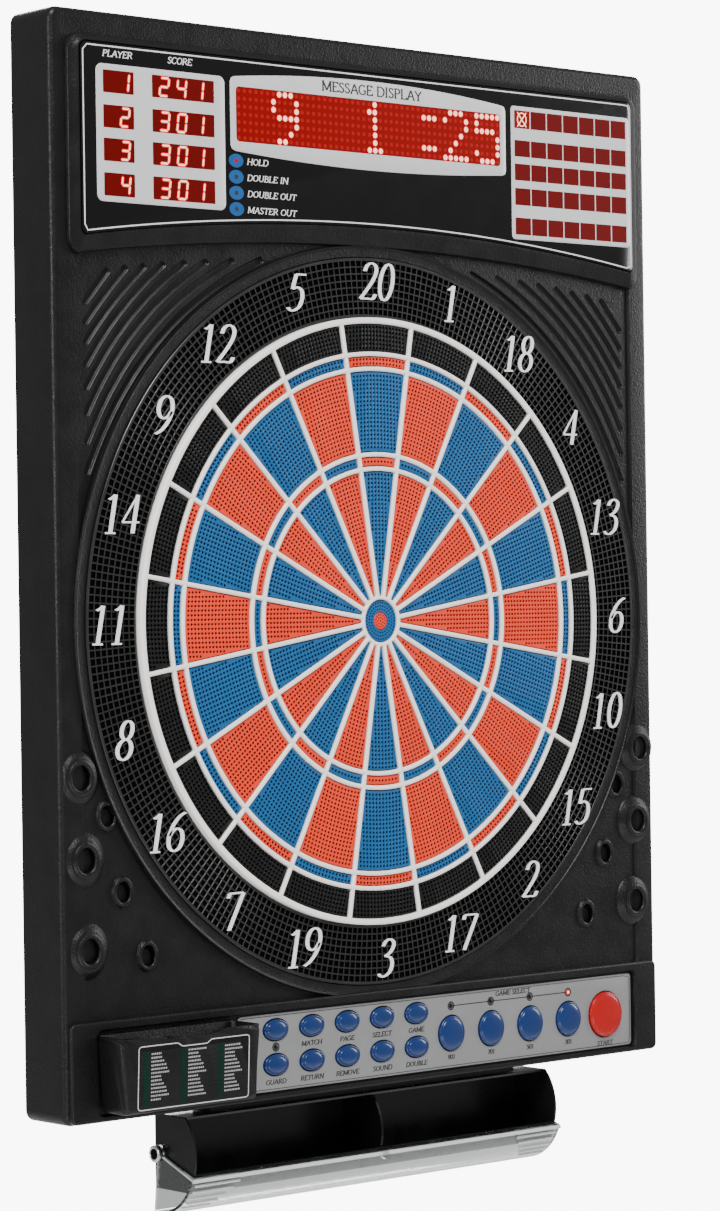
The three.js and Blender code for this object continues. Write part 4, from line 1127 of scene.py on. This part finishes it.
def display_panel():
    """Glossy label with silver frames, red windows, lit digits, the dot matrix and the marks."""
    shape = Shape()
    shape.solid(LABEL_LOOP, LABEL_FACE - 1.9, LABEL_FACE, 0.3, steps=2)
    shape.piece("display_face", GLOSS, replaces=["display_label"], slot="label_gloss", crease=30)

    line = Shape()
    line.ribbon(resample(inset(LABEL_LOOP, 2.0), 220), 1.0, LABEL_FACE - 0.05, LABEL_FACE + 0.1, closed=True)
    line.piece("display_outline", PRINT_WHITE, slot="panel_silver")

    windows = [round_rect(x0, x1, y1, y0, 0.6, 2) for y0, y1 in ROWS for x0, x1 in (PLAYER_X, SCORE_X)]
    frames = Shape()
    top, low = LABEL_FACE + 0.35, LABEL_FACE - 0.05
    frames.solid(round_rect(-256.4, -142.3, 293.9, 389.3, 5), low, top, 0.2, windows, 2)
    arch = message_loop()
    x0, x1, y0, y1 = MATRIX
    frames.solid(arch, low, top, 0.2, [round_rect(x0, x1, y0, y1, 3)], 2)
    cells = mark_cells()
    frames.solid(round_rect(138.7, 266.5, 289.6, 391.4, 3), low, top, 0.2, [inset(c, 0.45) for c in cells], 2)
    frames.piece("display_frames", SILVER, slot="panel_silver", crease=30)

    glass = Shape()
    back = LABEL_FACE + 0.02
    for loop in windows:
        glass.solid(inset(loop, -0.2), back - 0.1, back + 0.04, finish=0)
    glass.solid(round_rect(x0 - 0.2, x1 + 0.2, y0 - 0.2, y1 + 0.2, 3), back - 0.1, back + 0.04, finish=2)
    for k, cell in enumerate(cells):
        glass.solid(cell, back - 0.1, back + 0.04, finish=2 if k == 0 else 1)
    glass.piece("display_windows", [LED_GLOW, LED_DIM, LED_BAR], slot="label_gloss", crease=30)

    lit, halo = Shape(), Shape()
    face = LABEL_FACE + 0.1
    for row, (player, score) in enumerate([("1", "241"), ("2", "301"), ("3", "301"), ("4", "301")]):
        y = sum(ROWS[row]) / 2
        seven_segment(lit, halo, player, -231.3, y, 6.8, 12.4, face)
        for k, digit in enumerate(score):
            seven_segment(lit, halo, digit, -196.4 + 15.4 * k, y, 7.4, 12.6, face)
    pitch_x, pitch_y = (x1 - x0) / MATRIX_COLUMNS, (y1 - y0) / MATRIX_ROWS
    on = set()
    for text, column in MESSAGE:
        for row, line_dots in enumerate(DOTS[text]):
            on |= {(column + k, row) for k, dot in enumerate(line_dots) if dot == "1"}
    dim = Shape()
    for column in range(MATRIX_COLUMNS):
        for row in range(MATRIX_ROWS):
            cx, cy = x0 + (column + 0.5) * pitch_x, y1 - (row + 0.5) * pitch_y
            if (column, row) in on:
                lit.solid(circle(cx, cy, 2.0, 2.0, 12), face - 0.02, face + 0.1)
                halo.solid(circle(cx, cy, 2.65, 2.65, 12), face - 0.06, face + 0.03)
            else:
                dim.solid(circle(cx, cy, 1.5, 1.5, 12), face - 0.06, face)
    cell = cells[0]
    cx = sum(p[0] for p in cell) / len(cell)
    cy = sum(p[1] for p in cell) / len(cell)
    lit.ribbon(circle(cx, cy, 4.6, 5.0, 28), 0.8, face, face + 0.1, closed=True)
    for sign in (-1, 1):
        ends = [(cx - 4.6, cy - 5.4 * sign), (cx + 4.6, cy + 5.4 * sign)]
        lit.ribbon(split(ends, 4), 0.8, face, face + 0.12)
    lit.piece("display_lit", LED_ON, slot="label_gloss", crease=30)
    halo.piece("display_halos", LED_HALO, slot="label_gloss", crease=30)
    dim.piece("display_dots", LED_OFF, slot="label_gloss", crease=30)

    ovals, pupils = Shape(), Shape()
    for k in range(4):
        y = INDICATORS_FROM - INDICATOR_PITCH * k
        print_on(ovals, circle(-132.3, y, 6.7, 4.9, 32))
        print_on(pupils, circle(-132.3, y, 1.6, 1.6, 16), 0.2, finish=0 if k == 0 else 1)
    ovals.piece("display_ovals", PRINT_BLUE, slot="button_blue")
    pupils.piece("display_indicators", [LED_OFF, PRINT_BLACK], slot="label_gloss")


def message_loop():
    """Frame of the message window: straight ends between an arched top and a bowed bottom."""
    left, right = -137.2, 132.8
    bottom = [(left, 337.6 + 3.5), (left + 1.2, 337.6 + 1), (left + 4, 337.2)]
    steps = 20
    for k in range(1, steps):
        t = k / steps
        bottom.append((left + 4 + (right - left - 8) * t, 337.2 - 5.4 * 4 * t * (1 - t)))
    bottom += [(right - 4, 337.0), (right - 1.2, 338), (right, 340.5)]
    top = [(right, 386.5), (right - 1.2, 389.4), (right - 4, 390.4)]
    for k in range(1, steps):
        t = k / steps
        top.append((right - 4 - (right - left - 8) * t, 390.4 + 7.2 * 4 * t * (1 - t)))
    top += [(left + 4, 390.4), (left + 1.2, 389.2), (left, 386.5)]
    return bottom + top


def mark_cells():
    x0, x1 = MARK_X
    width = (x1 - x0) / MARK_COLUMNS
    edges = [(x0 + k * width, x0 + (k + 1) * width) for k in range(MARK_COLUMNS)]
    return [
        [(left, low), (right, low), (right, high), (left, high)]
        for high, low in MARK_ROWS
        for left, right in edges
    ]


def words(name, finish, face, texts, height, align=0.5, slant=0.2, stretch=1.3, weight=1.0):
    """Small printed words on one face of the case, each as (text, x, y)."""
    shape = Shape()
    pen = (height * 0.085 * weight, height * 0.045 * weight)
    for text, x, y in texts:
        write(shape, text, x, y, height, pen, (face - 0.04, face + 0.05), stretch, slant, align)
    return shape.piece(name, finish)


def display_words():
    """The words printed on the label."""
    face = LABEL_FACE + 0.04
    titles = [("PLAYER", -237, 396.6), ("SCORE", -182, 396.6)]
    words("display_titles", PRINT_WHITE, face, titles, 4.4, stretch=1.5, weight=1.15)
    labels = ["HOLD", "DOUBLE IN", "DOUBLE OUT", "MASTER OUT"]
    places = [(text, -122, INDICATORS_FROM - INDICATOR_PITCH * k) for k, text in enumerate(labels)]
    words("display_labels", PRINT_WHITE, face, places, 4.2, align=0, stretch=1.6, weight=1.15)
    heading = [("MESSAGE DISPLAY", -2, 390.6)]
    words("display_heading", PRINT_BLACK, LABEL_FACE + 0.36, heading, 7.0, slant=0, stretch=1.5, weight=1.25)


# ---------- controls ----------
def middle_of(node):
    box = face_box(node)
    return (box[0] + box[1]) / 2, (box[2] + box[3]) / 2


SMALL = [f"menu_button_{k}" for k in range(1, 11)]
ROUND = [f"game_button_{k}" for k in range(1, 5)]
START = "start_button"
CAPS = {**{n: (11.3, 7.5) for n in SMALL}, **{n: (12.7, 13.0) for n in ROUND}, START: (17.1, 17.4)}
CAP_GAP = 0.95
LAMP_RADIUS = 2.2
LAMP_ROW = -290.3


def buttons():
    """Caps with a rounded shoulder, a fine step and a crowned top, each in its hole of the plate."""
    for name, (rx, ry) in CAPS.items():
        cx, cy = middle_of(name)
        top = face_box(name)[5]
        low = PLATE_FACE - 1.6
        step, crown = top - 1.5, 1.5
        shoulder = [(ry, step - 0.9), (ry - 0.15, step - 0.35), (ry - 0.6, step - 0.05), (ry - 1.1, step)]
        waist = [(ry - 1.35, step - 0.12), (ry - 1.6, step)]
        reach = ry - 1.6
        turns = (0.12, 0.28, 0.5, 0.75, 1.0, 1.25, 1.45)
        dome = [(reach * math.cos(a), step + crown * math.sin(a)) for a in turns]
        shape = Shape()
        shape.lathe([(ry, low - 0.6), *shoulder, *waist, *dome], 64, (cx, cy), (rx / ry, 1))
        # a near-black disc under each cap: painted shade seen through the gap between the cap and its hole
        shade_well = [(ry + 1.6, low - 0.5), (ry + 1.6, low)]
        shape.lathe(shade_well, 64, (cx, cy), (rx / ry, 1), finish=1)
        finish, slot = (BUTTON_RED, "button_red") if name == START else (BUTTON_BLUE, "button_blue")
        shape.piece("cap_" + name, [finish, HOLLOW_SHADE_BLACK], name, [name], slot, crease=50)


PLATE_EDGES = (-138, 260.5, -336.8, -281)


def control_panel():
    """Silver plate with a hole for each button, small lamps, printed lines and words."""
    shape = Shape()
    outline = round_rect(*PLATE_EDGES, 3)
    holes = []
    for name, (rx, ry) in CAPS.items():
        cx, cy = middle_of(name)
        holes.append(circle(cx, cy, rx + CAP_GAP, ry + CAP_GAP, 56))
    lamps = [(middle_of(n)[0], LAMP_ROW) for n in ROUND]
    lamps.append((middle_of(SMALL[0])[0], (middle_of(SMALL[0])[1] + middle_of(SMALL[5])[1]) / 2))
    holes += [circle(x, y, LAMP_RADIUS, LAMP_RADIUS, 20) for x, y in lamps]
    shape.solid(outline, PLATE_FACE - 1.2, PLATE_FACE, 0.25, holes, 2)
    shape.piece("control_plate", PLATE, replaces=["control_panel"], slot="panel_silver", crease=30)

    lenses = Shape()
    r = LAMP_RADIUS - 0.15
    dome = [(r * wide, PLATE_FACE + up) for wide, up in ((1, -2), (1, -0.1), (0.7, 0.45), (0.3, 0.65))]
    core = [(r * wide, PLATE_FACE + up) for wide, up in ((0.5, 0), (0.5, 0.6), (0.25, 0.75))]
    for x, y in lamps:
        lenses.lathe(dome, 20, (x, y), finish=1 if (x, y) == lamps[3] else 0)
    lenses.lathe(core, 16, lamps[3], finish=2)
    lenses.piece("panel_lamps", [SMOOTH_BLACK, LED_HALO, LED_ON], slot="ring_black")

    prints = Shape()
    high = PLATE_FACE + 0.08
    for (xa, y), (xb, _) in zip(lamps[:3], lamps[1:4]):
        prints.ribbon([(xa + LAMP_RADIUS, y), (xb - LAMP_RADIUS, y)], 0.7, PLATE_FACE - 0.05, high)
    prints.ribbon(resample(inset(outline, 1.6), 120), 0.45, PLATE_FACE - 0.05, high, closed=True)
    for x, y in lamps:
        ring = circle(x, y, LAMP_RADIUS + 0.7, LAMP_RADIUS + 0.7, 24)
        prints.ribbon(ring, 1.0, PLATE_FACE - 0.05, high, closed=True)
    prints.piece("panel_lines", PRINT_BLACK, slot="ring_black")

    names = ["MATCH", "PAGE", "SELECT", "GAME", "GUARD", "RETURN", "REMOVE", "SOUND", "DOUBLE"]
    texts = [(text, middle_of(n)[0], middle_of(n)[1] - 12.4) for n, text in zip(SMALL[1:], names)]
    rounds = zip(ROUND, ["901", "701", "501", "301"])
    texts += [(text, middle_of(n)[0], middle_of(n)[1] - 17.8) for n, text in rounds]
    texts.append(("START", middle_of(START)[0], middle_of(START)[1] - 22.4))
    texts.append(("GAME SELECT", 133, LAMP_ROW + 5.2))
    words("panel_words", PRINT_BLACK, PLATE_FACE + 0.04, texts, 3.3, stretch=1.55, weight=1.5)


# ---------- storage ----------
def storage_box():
    """Open-topped pocket with a thumb notch in its front rim and a printed table on its face."""
    left, right, low, high, back, front = face_box("storage_box")
    shape = Shape()
    corner, wall, notch = 4.5, 2.2, 3.2

    def section(margin, y, dip=0.0):
        edges = left + margin, right - margin, back + margin, front - margin
        loop = densify(round_rect(*edges, corner - margin * 0.4, 5), 6)
        placed = []
        for x, z in loop:
            near_front = z > (back + front) / 2
            t = abs(x - (left + right) / 2) / 17
            ease = max(0.0, min(1.0, 1.8 - t))
            drop = dip * ease * ease * (3 - 2 * ease) if near_front else 0
            placed.append((x, y - drop, z))
        return placed[::-1]

    shape.loft(
        [
            section(5.2, low), section(3.6, low + 0.5), section(2.6, low + 2.2), section(2.3, low + 4.5),
            section(0.1, high - 4), section(0, high - 0.5, notch), section(0.35, high, notch),
            section(wall - 0.3, high, notch), section(wall, high - 0.5, notch),
            section(wall + 2.3, low + 4.6), section(wall + 3.4, low + wall),
        ]
    )
    shape.piece("pocket", CASE_BLACK, replaces=["storage_box"], slot="case_black", crease=40)

    lean = 2.3 / (high - low - 8.5)

    def on_front(p):
        x, y, z = p
        return (x, y, z + front - (high - y) * lean)

    label = Shape()
    x0, x1, y0, y1 = -250.5, -152.6, -333, -289
    middle = (x0 + x1) / 2
    outline = round_rect(x0, x1, y0, y1, 2, 4)
    half = len(outline) // 2
    dipped = outline[: half] + [
        (middle + 15, y1), (middle + 11, y1 - 2.6), (middle - 11, y1 - 2.6), (middle - 15, y1)
    ] + outline[half:]
    label.solid(inset(dipped, 0.1), 0, 0.12, turn=on_front)
    label.piece("pocket_label", SMOOTH_BLACK, slot="ring_black")
    edge = Shape()
    edge.ribbon(resample(dipped, 160), 0.7, 0.0, 0.22, closed=True)
    edge.points = [on_front(p) for p in edge.points]
    edge.piece("pocket_label_edge", SILVER, slot="panel_silver")

    squares, bars = Shape(), Shape()
    rows = 14
    pitch = (y1 - y0 - 7) / rows
    for column in range(3):
        cx = x0 + 4.5 + column * 32.5
        for row in range(rows):
            y = y1 - 4.4 - (row + 0.5) * pitch
            squares.solid(round_rect(cx, cx + 4.6, y - 1.05, y + 1.05, 0.3, 2), 0.05, 0.24, turn=on_front)
            length = 8 + (row * 7 + column * 5) % 6 * 1.5
            x = cx + 6.5
            while x < cx + 6.5 + length:
                step = 0.75 + (row + column + int(x)) % 3 * 0.25
                letter = [(x, y - 0.6), (x + step, y - 0.6), (x + step, y + 0.6), (x, y + 0.6)]
                bars.solid(letter, 0.05, 0.2, turn=on_front)
                x += step + 0.55
    squares.piece("pocket_label_squares", PRINT_GREEN, slot="ring_black")
    bars.piece("pocket_label_lines", PRINT_GREY, slot="panel_silver")


def densify(loop, longest):
    """The loop with extra points, so that no side is longer than the given length."""
    made = []
    for p, q in zip(loop, loop[1:] + loop[:1]):
        pieces = max(1, math.ceil(math.dist(p, q) / longest))
        along = q[0] - p[0], q[1] - p[1]
        made += [(p[0] + along[0] * k / pieces, p[1] + along[1] * k / pieces) for k in range(pieces)]
    return made


hinge = next(j for j in frame["record"]["behaviour"]["joints"] if j["name"] == "tray_cover_hinge")
PIVOT_Z, PIVOT_Y = -hinge["pos_m"][1] / MM, hinge["pos_m"][2] / MM
TRAY_HALF = face_box("storage_tray")[1]
TRAY_RADIUS, TRAY_TOP, TRAY_FLOOR, TRAY_WALL = 40.5, 28.1, -25.1, 1.6
COVER_INNER, COVER_OUTER = 41.3, 43.3
COVER_FROM, COVER_TO = math.radians(-96), math.radians(-19)


def tray_point(radius, angle):
    return PIVOT_Z + radius * math.cos(angle), PIVOT_Y + radius * math.sin(angle)


def tray_section(margin, lip):
    """[z, y] loop of the tray's skin, from the front of its roof round the back to its lip."""
    r = TRAY_RADIUS - margin
    top, floor, back = PIVOT_Y + TRAY_TOP - margin, PIVOT_Y + TRAY_FLOOR + margin, 0.6 + margin
    roof_front = math.asin((TRAY_TOP - margin) / r)
    floor_front = math.asin((TRAY_FLOOR + margin) / r)
    loop = [tray_point(r, roof_front), (back + 1.5, top), (back, top - 1.5)]
    loop += [(back, floor + 1.5), (back + 1.5, floor)]
    steps = 8
    loop += [tray_point(r, floor_front + (lip - floor_front) * k / steps) for k in range(steps + 1)]
    return loop


def storage_tray():
    """Half-open trough with a flat roof and floor, and end walls with a convex front edge."""
    shape = Shape()
    lip = math.radians(-17)
    outer = tray_section(0, lip)
    inner = tray_section(TRAY_WALL, lip)
    skin = outer + inner[::-1]
    half = TRAY_HALF - 0.4
    shape.loft([[(x, y, z) for z, y in skin] for x in (-half, half)][::-1])
    for side in (-1, 1):
        r, n = TRAY_RADIUS, 26
        roof, floor = math.asin(TRAY_TOP / r), math.asin(TRAY_FLOOR / r)
        top, low = PIVOT_Y + TRAY_TOP, PIVOT_Y + TRAY_FLOOR
        loop = [(2.1, top), (0.6, top - 1.5), (0.6, low + 1.5), (2.1, low)]
        loop += [tray_point(r, floor + (roof - floor) * k / n) for k in range(n + 1)]
        x = side * TRAY_HALF
        across = [x - side * TRAY_WALL, x - side * (TRAY_WALL - 0.5), x - side * 0.5, x]
        rings = [inset(loop, d) for d in (0.5, 0, 0, 0.5)]
        loops = [[(px, y, z) for z, y in ring] for px, ring in zip(across, rings)]
        shape.loft(loops)
    shape.solid(round_rect(-150, 150, 8, 30, 2), 0, 1, turn=lambda p: (p[0], BOTTOM - 0.4 - p[2] * 5, p[1]))
    made = shape.piece("tray_shell", TRAY_BLACK, replaces=["storage_tray"], slot="case_black", crease=40)
    outward(made)


def outward(made):
    """Turns every face of a closed piece outwards."""
    tidy = bmesh.new()
    tidy.from_mesh(made.data)
    bmesh.ops.recalc_face_normals(tidy, faces=tidy.faces)
    tidy.to_mesh(made.data)
    tidy.free()


def across(points, x0, x1):
    """Two loops of a [z, y] outline, at two places along x."""
    return [[(x, y, z) for z, y in points] for x in (x0, x1)]


def bar(middle, radius, steps=10):
    return [(middle[0] + z, middle[1] + y) for z, y in circle(0, 0, radius, radius, steps)]


def tray_cover():
    """Clear moulding that turns about the pivots: a curved skin, a rim, grip ridges and ends."""
    half = face_box("tray_cover")[1]
    end = 2.2
    steps = 40
    spread = [COVER_FROM + (COVER_TO - COVER_FROM) * k / steps for k in range(steps + 1)]
    skin = [tray_point(COVER_OUTER, a) for a in spread] + [tray_point(COVER_INNER, a) for a in spread[::-1]]
    shape = Shape()
    shape.loft(across(skin, -half, half))
    for side in (-1, 1):
        plate = [tray_point(COVER_INNER - 0.05, a) for a in spread]
        hub = [tray_point(6.4, COVER_TO + (2 * math.pi + COVER_FROM - COVER_TO) * k / 16) for k in range(17)]
        shape.loft(across(plate + hub, side * (half - end), side * half))
    made = shape.piece("clear_cover", CLEAR, "tray_cover", ["tray_cover"], "cover_clear", crease=30)
    outward(made)

    edges = Shape()
    rim = COVER_TO - 0.037
    edges.loft(across(bar(tray_point(COVER_OUTER + 0.2, rim), 1.5), -half, half))
    edges.loft(across(bar(tray_point(COVER_INNER - 2.0, rim), 0.8), 6 - half, half - 6))
    for side in (-1, 1):
        x = side * (half - end / 2)
        foot, head = tray_point(6.2, rim), tray_point(COVER_OUTER, rim)
        edges.loft([raised(circle(x, y, end / 2 + 0.15, 1.0, 12), z) for z, y in (foot, head)])
        for k in range(5):
            a = COVER_TO - 0.14 - 0.13 * k
            ridge = [
                tray_point(r, a + d)
                for r, d in ((COVER_OUTER - 0.2, -0.026), (COVER_OUTER + 1.0, -0.010),
                             (COVER_OUTER + 1.0, 0.010), (COVER_OUTER - 0.2, 0.026))
            ]
            edges.loft(across(ridge, side * (half - 3), side * (half - 44 + 4 * k)))
    z, y = tray_point(COVER_OUTER + 0.6, rim)
    boss = [(4.5, 0), (4.5, 1.5), (3.6, 2.4), (1.5, 2.6)]
    edges.lathe(boss, 24, turn=lambda p: (p[0], y - 1.2 + p[1] * 0.7, z - 1.2 + p[2]), finish=1)
    outward(
        edges.piece("clear_cover_edges", [CLEAR_EDGE, CLEAR], "tray_cover", slot="cover_clear", crease=40)
    )


def tray_pivots():
    """Pins of the cover: a shank and a round head whose recess is painted near-black as shade."""
    for name in ("tray_pivot_left", "tray_pivot_right"):
        left, right = face_box(name)[:2]
        side = 1 if left > 0 else -1
        inner, outer = (left, right) if side > 0 else (right, left)
        length = abs(outer - inner)
        shape = Shape()

        def turn(p):
            return (inner + side * p[2], PIVOT_Y + p[1], PIVOT_Z + p[0])

        pin = [(2.5, 0), (2.5, length - 3.2), (5.6, length - 3.2), (6.2, length - 2.6), (6.2, length - 0.9)]
        shape.lathe([*pin, (5.5, length - 0.2), (4.6, length), (4.0, length - 0.4)], 36, turn=turn)
        # the recess in the head is painted near-black as shade
        shape.lathe([(3.9, length - 0.5), (3.9, length - 0.3), (3.0, length - 0.28)], 36, turn=turn, finish=1)
        outward(shape.piece(name + "_cap", [STEEL, HOLLOW_SHADE_BLACK], replaces=[name], slot="pin_steel", crease=40))


# ---------- back ----------
SCREWS = [(-279, 415), (0, 415), (279, 415), (-279, 60), (279, 60), (-279, -331), (279, -331)]


def rear_screws():
    """Pan heads of the back cover's screws, let into the cover, with crossed slots."""
    shape = Shape()

    def backwards(p):
        return (p[0], p[1], 0.5 - p[2])

    arm, cross = [(-1.9, -0.4), (-0.4, -0.4), (-0.4, -1.9)], []
    for _ in range(4):
        cross += arm
        arm = [(-v, u) for u, v in arm]
    for x, y in SCREWS:
        slots = [(x + u, y + v) for u, v in cross]
        shape.solid(circle(x, y, 3.6, 3.6, 28), 0, 1.0, 0.5, [slots], 3, turn=backwards)
        shape.solid(circle(x, y, 2.4, 2.4, 16), -0.2, 0.1, turn=backwards)
    made = shape.piece("rear_screws", ZINC, slot="pin_steel", crease=40)
    outward(made)


# ---------- CAD nodes that stay ----------
def dress_nodes():
    """Materials of the CAD nodes that are shown as they are."""
    kept = {
        "back_cover": CASE_BLACK, "rubber_mat": RUBBER, "contact_film": FILM, "backing_board": BOARD,
        "main_board": CIRCUIT, "ribbon_cable": RUBBER, "speaker": SMOOTH_BLACK, "power_jack": SMOOTH_BLACK,
        "display_board": CIRCUIT, "control_board": CIRCUIT, "tray_divider": SMOOTH_BLACK,
    }
    for name, finish in kept.items():
        data = frame["nodes"][name].data
        data.materials.clear()
        data.materials.append(finish)


# ---------- studio ----------
def floor():
    """Pale floor below the board, which hangs at its usual height."""
    half, height = 4.4, -1.73
    mesh = bpy.data.meshes.new("floor")
    corners = [(-half, -half, height), (half, -half, height), (half, half, height), (-half, half, height)]
    mesh.from_pydata(corners, [], [(0, 1, 2, 3)])
    mesh.materials.append(material("pale_floor", (0.86, 0.86, 0.86), 0.7, grain=(4, 0.02), shade=0.01))
    made = bpy.data.objects.new("floor", mesh)
    bpy.context.scene.collection.objects.link(made)


def light(name, place, aim, size, power):
    lamp = bpy.data.lights.new(name, "AREA")
    lamp.shape = "RECTANGLE"
    lamp.size, lamp.size_y = size
    lamp.energy = power
    made = bpy.data.objects.new(name, lamp)
    made.location = place
    made.rotation_euler = (Vector(aim) - Vector(place)).to_track_quat("-Z", "Y").to_euler()
    bpy.context.scene.collection.objects.link(made)


def studio():
    """Soft white surroundings and five area lights."""
    world = bpy.data.worlds.new("studio")
    bpy.context.scene.world = world
    world.use_nodes = True
    nodes, links = world.node_tree.nodes, world.node_tree.links
    fill = nodes["Background"]
    fill.inputs["Color"].default_value = (1, 1, 1, 1)
    fill.inputs["Strength"].default_value = 0.42
    path = nodes.new("ShaderNodeLightPath")
    seen = fill.outputs["Background"]
    for ray, strength in (("Is Transmission Ray", 0.6), ("Is Camera Ray", 9.0)):
        backdrop = nodes.new("ShaderNodeBackground")
        backdrop.inputs["Color"].default_value = (1, 1, 1, 1)
        backdrop.inputs["Strength"].default_value = strength
        mix = nodes.new("ShaderNodeMixShader")
        links.new(path.outputs[ray], mix.inputs["Fac"])
        links.new(seen, mix.inputs[1])
        links.new(backdrop.outputs["Background"], mix.inputs[2])
        seen = mix.outputs["Shader"]
    links.new(seen, nodes["World Output"].inputs["Surface"])
    light("key", (-1.5, -2.2, 3.1), (0, 0, 0), (1.4, 1.4), 222)
    light("side", (3.4, -1.3, 1.0), (0, 0, 0), (1.0, 2.0), 75)
    light("left", (-3.6, -0.3, 0.6), (0, 0, 0), (0.8, 2.0), 80)
    light("rear", (1.6, 2.6, 1.2), (0, 0, 0), (1.6, 1.6), 130)
    light("low", (-1.2, -2.4, -1.5), (0, 0, -0.2), (1.6, 0.8), 25)


def camera():
    """The viewpoint: bull height, from the left of the board."""
    data = bpy.data.cameras.new("camera")
    data.lens, data.sensor_width = 105.7, 36
    made = bpy.data.objects.new("camera", data)
    made.location = (-1.7384, -2.0165, 0.0175)
    made.rotation_euler = [math.radians(a) for a in (89.871, 0.809, -41.170)]
    bpy.context.scene.collection.objects.link(made)
    bpy.context.scene.camera = made


segments()
bulls()
spider()
number_ring()
numerals()
housing_shell()
housing_floor()
dart_holders()
target_rim()
display_podium()
control_block()
display_panel()
display_words()
buttons()
control_panel()
storage_box()
storage_tray()
tray_cover()
tray_pivots()
rear_screws()
dress_nodes()
floor()
studio()
camera()
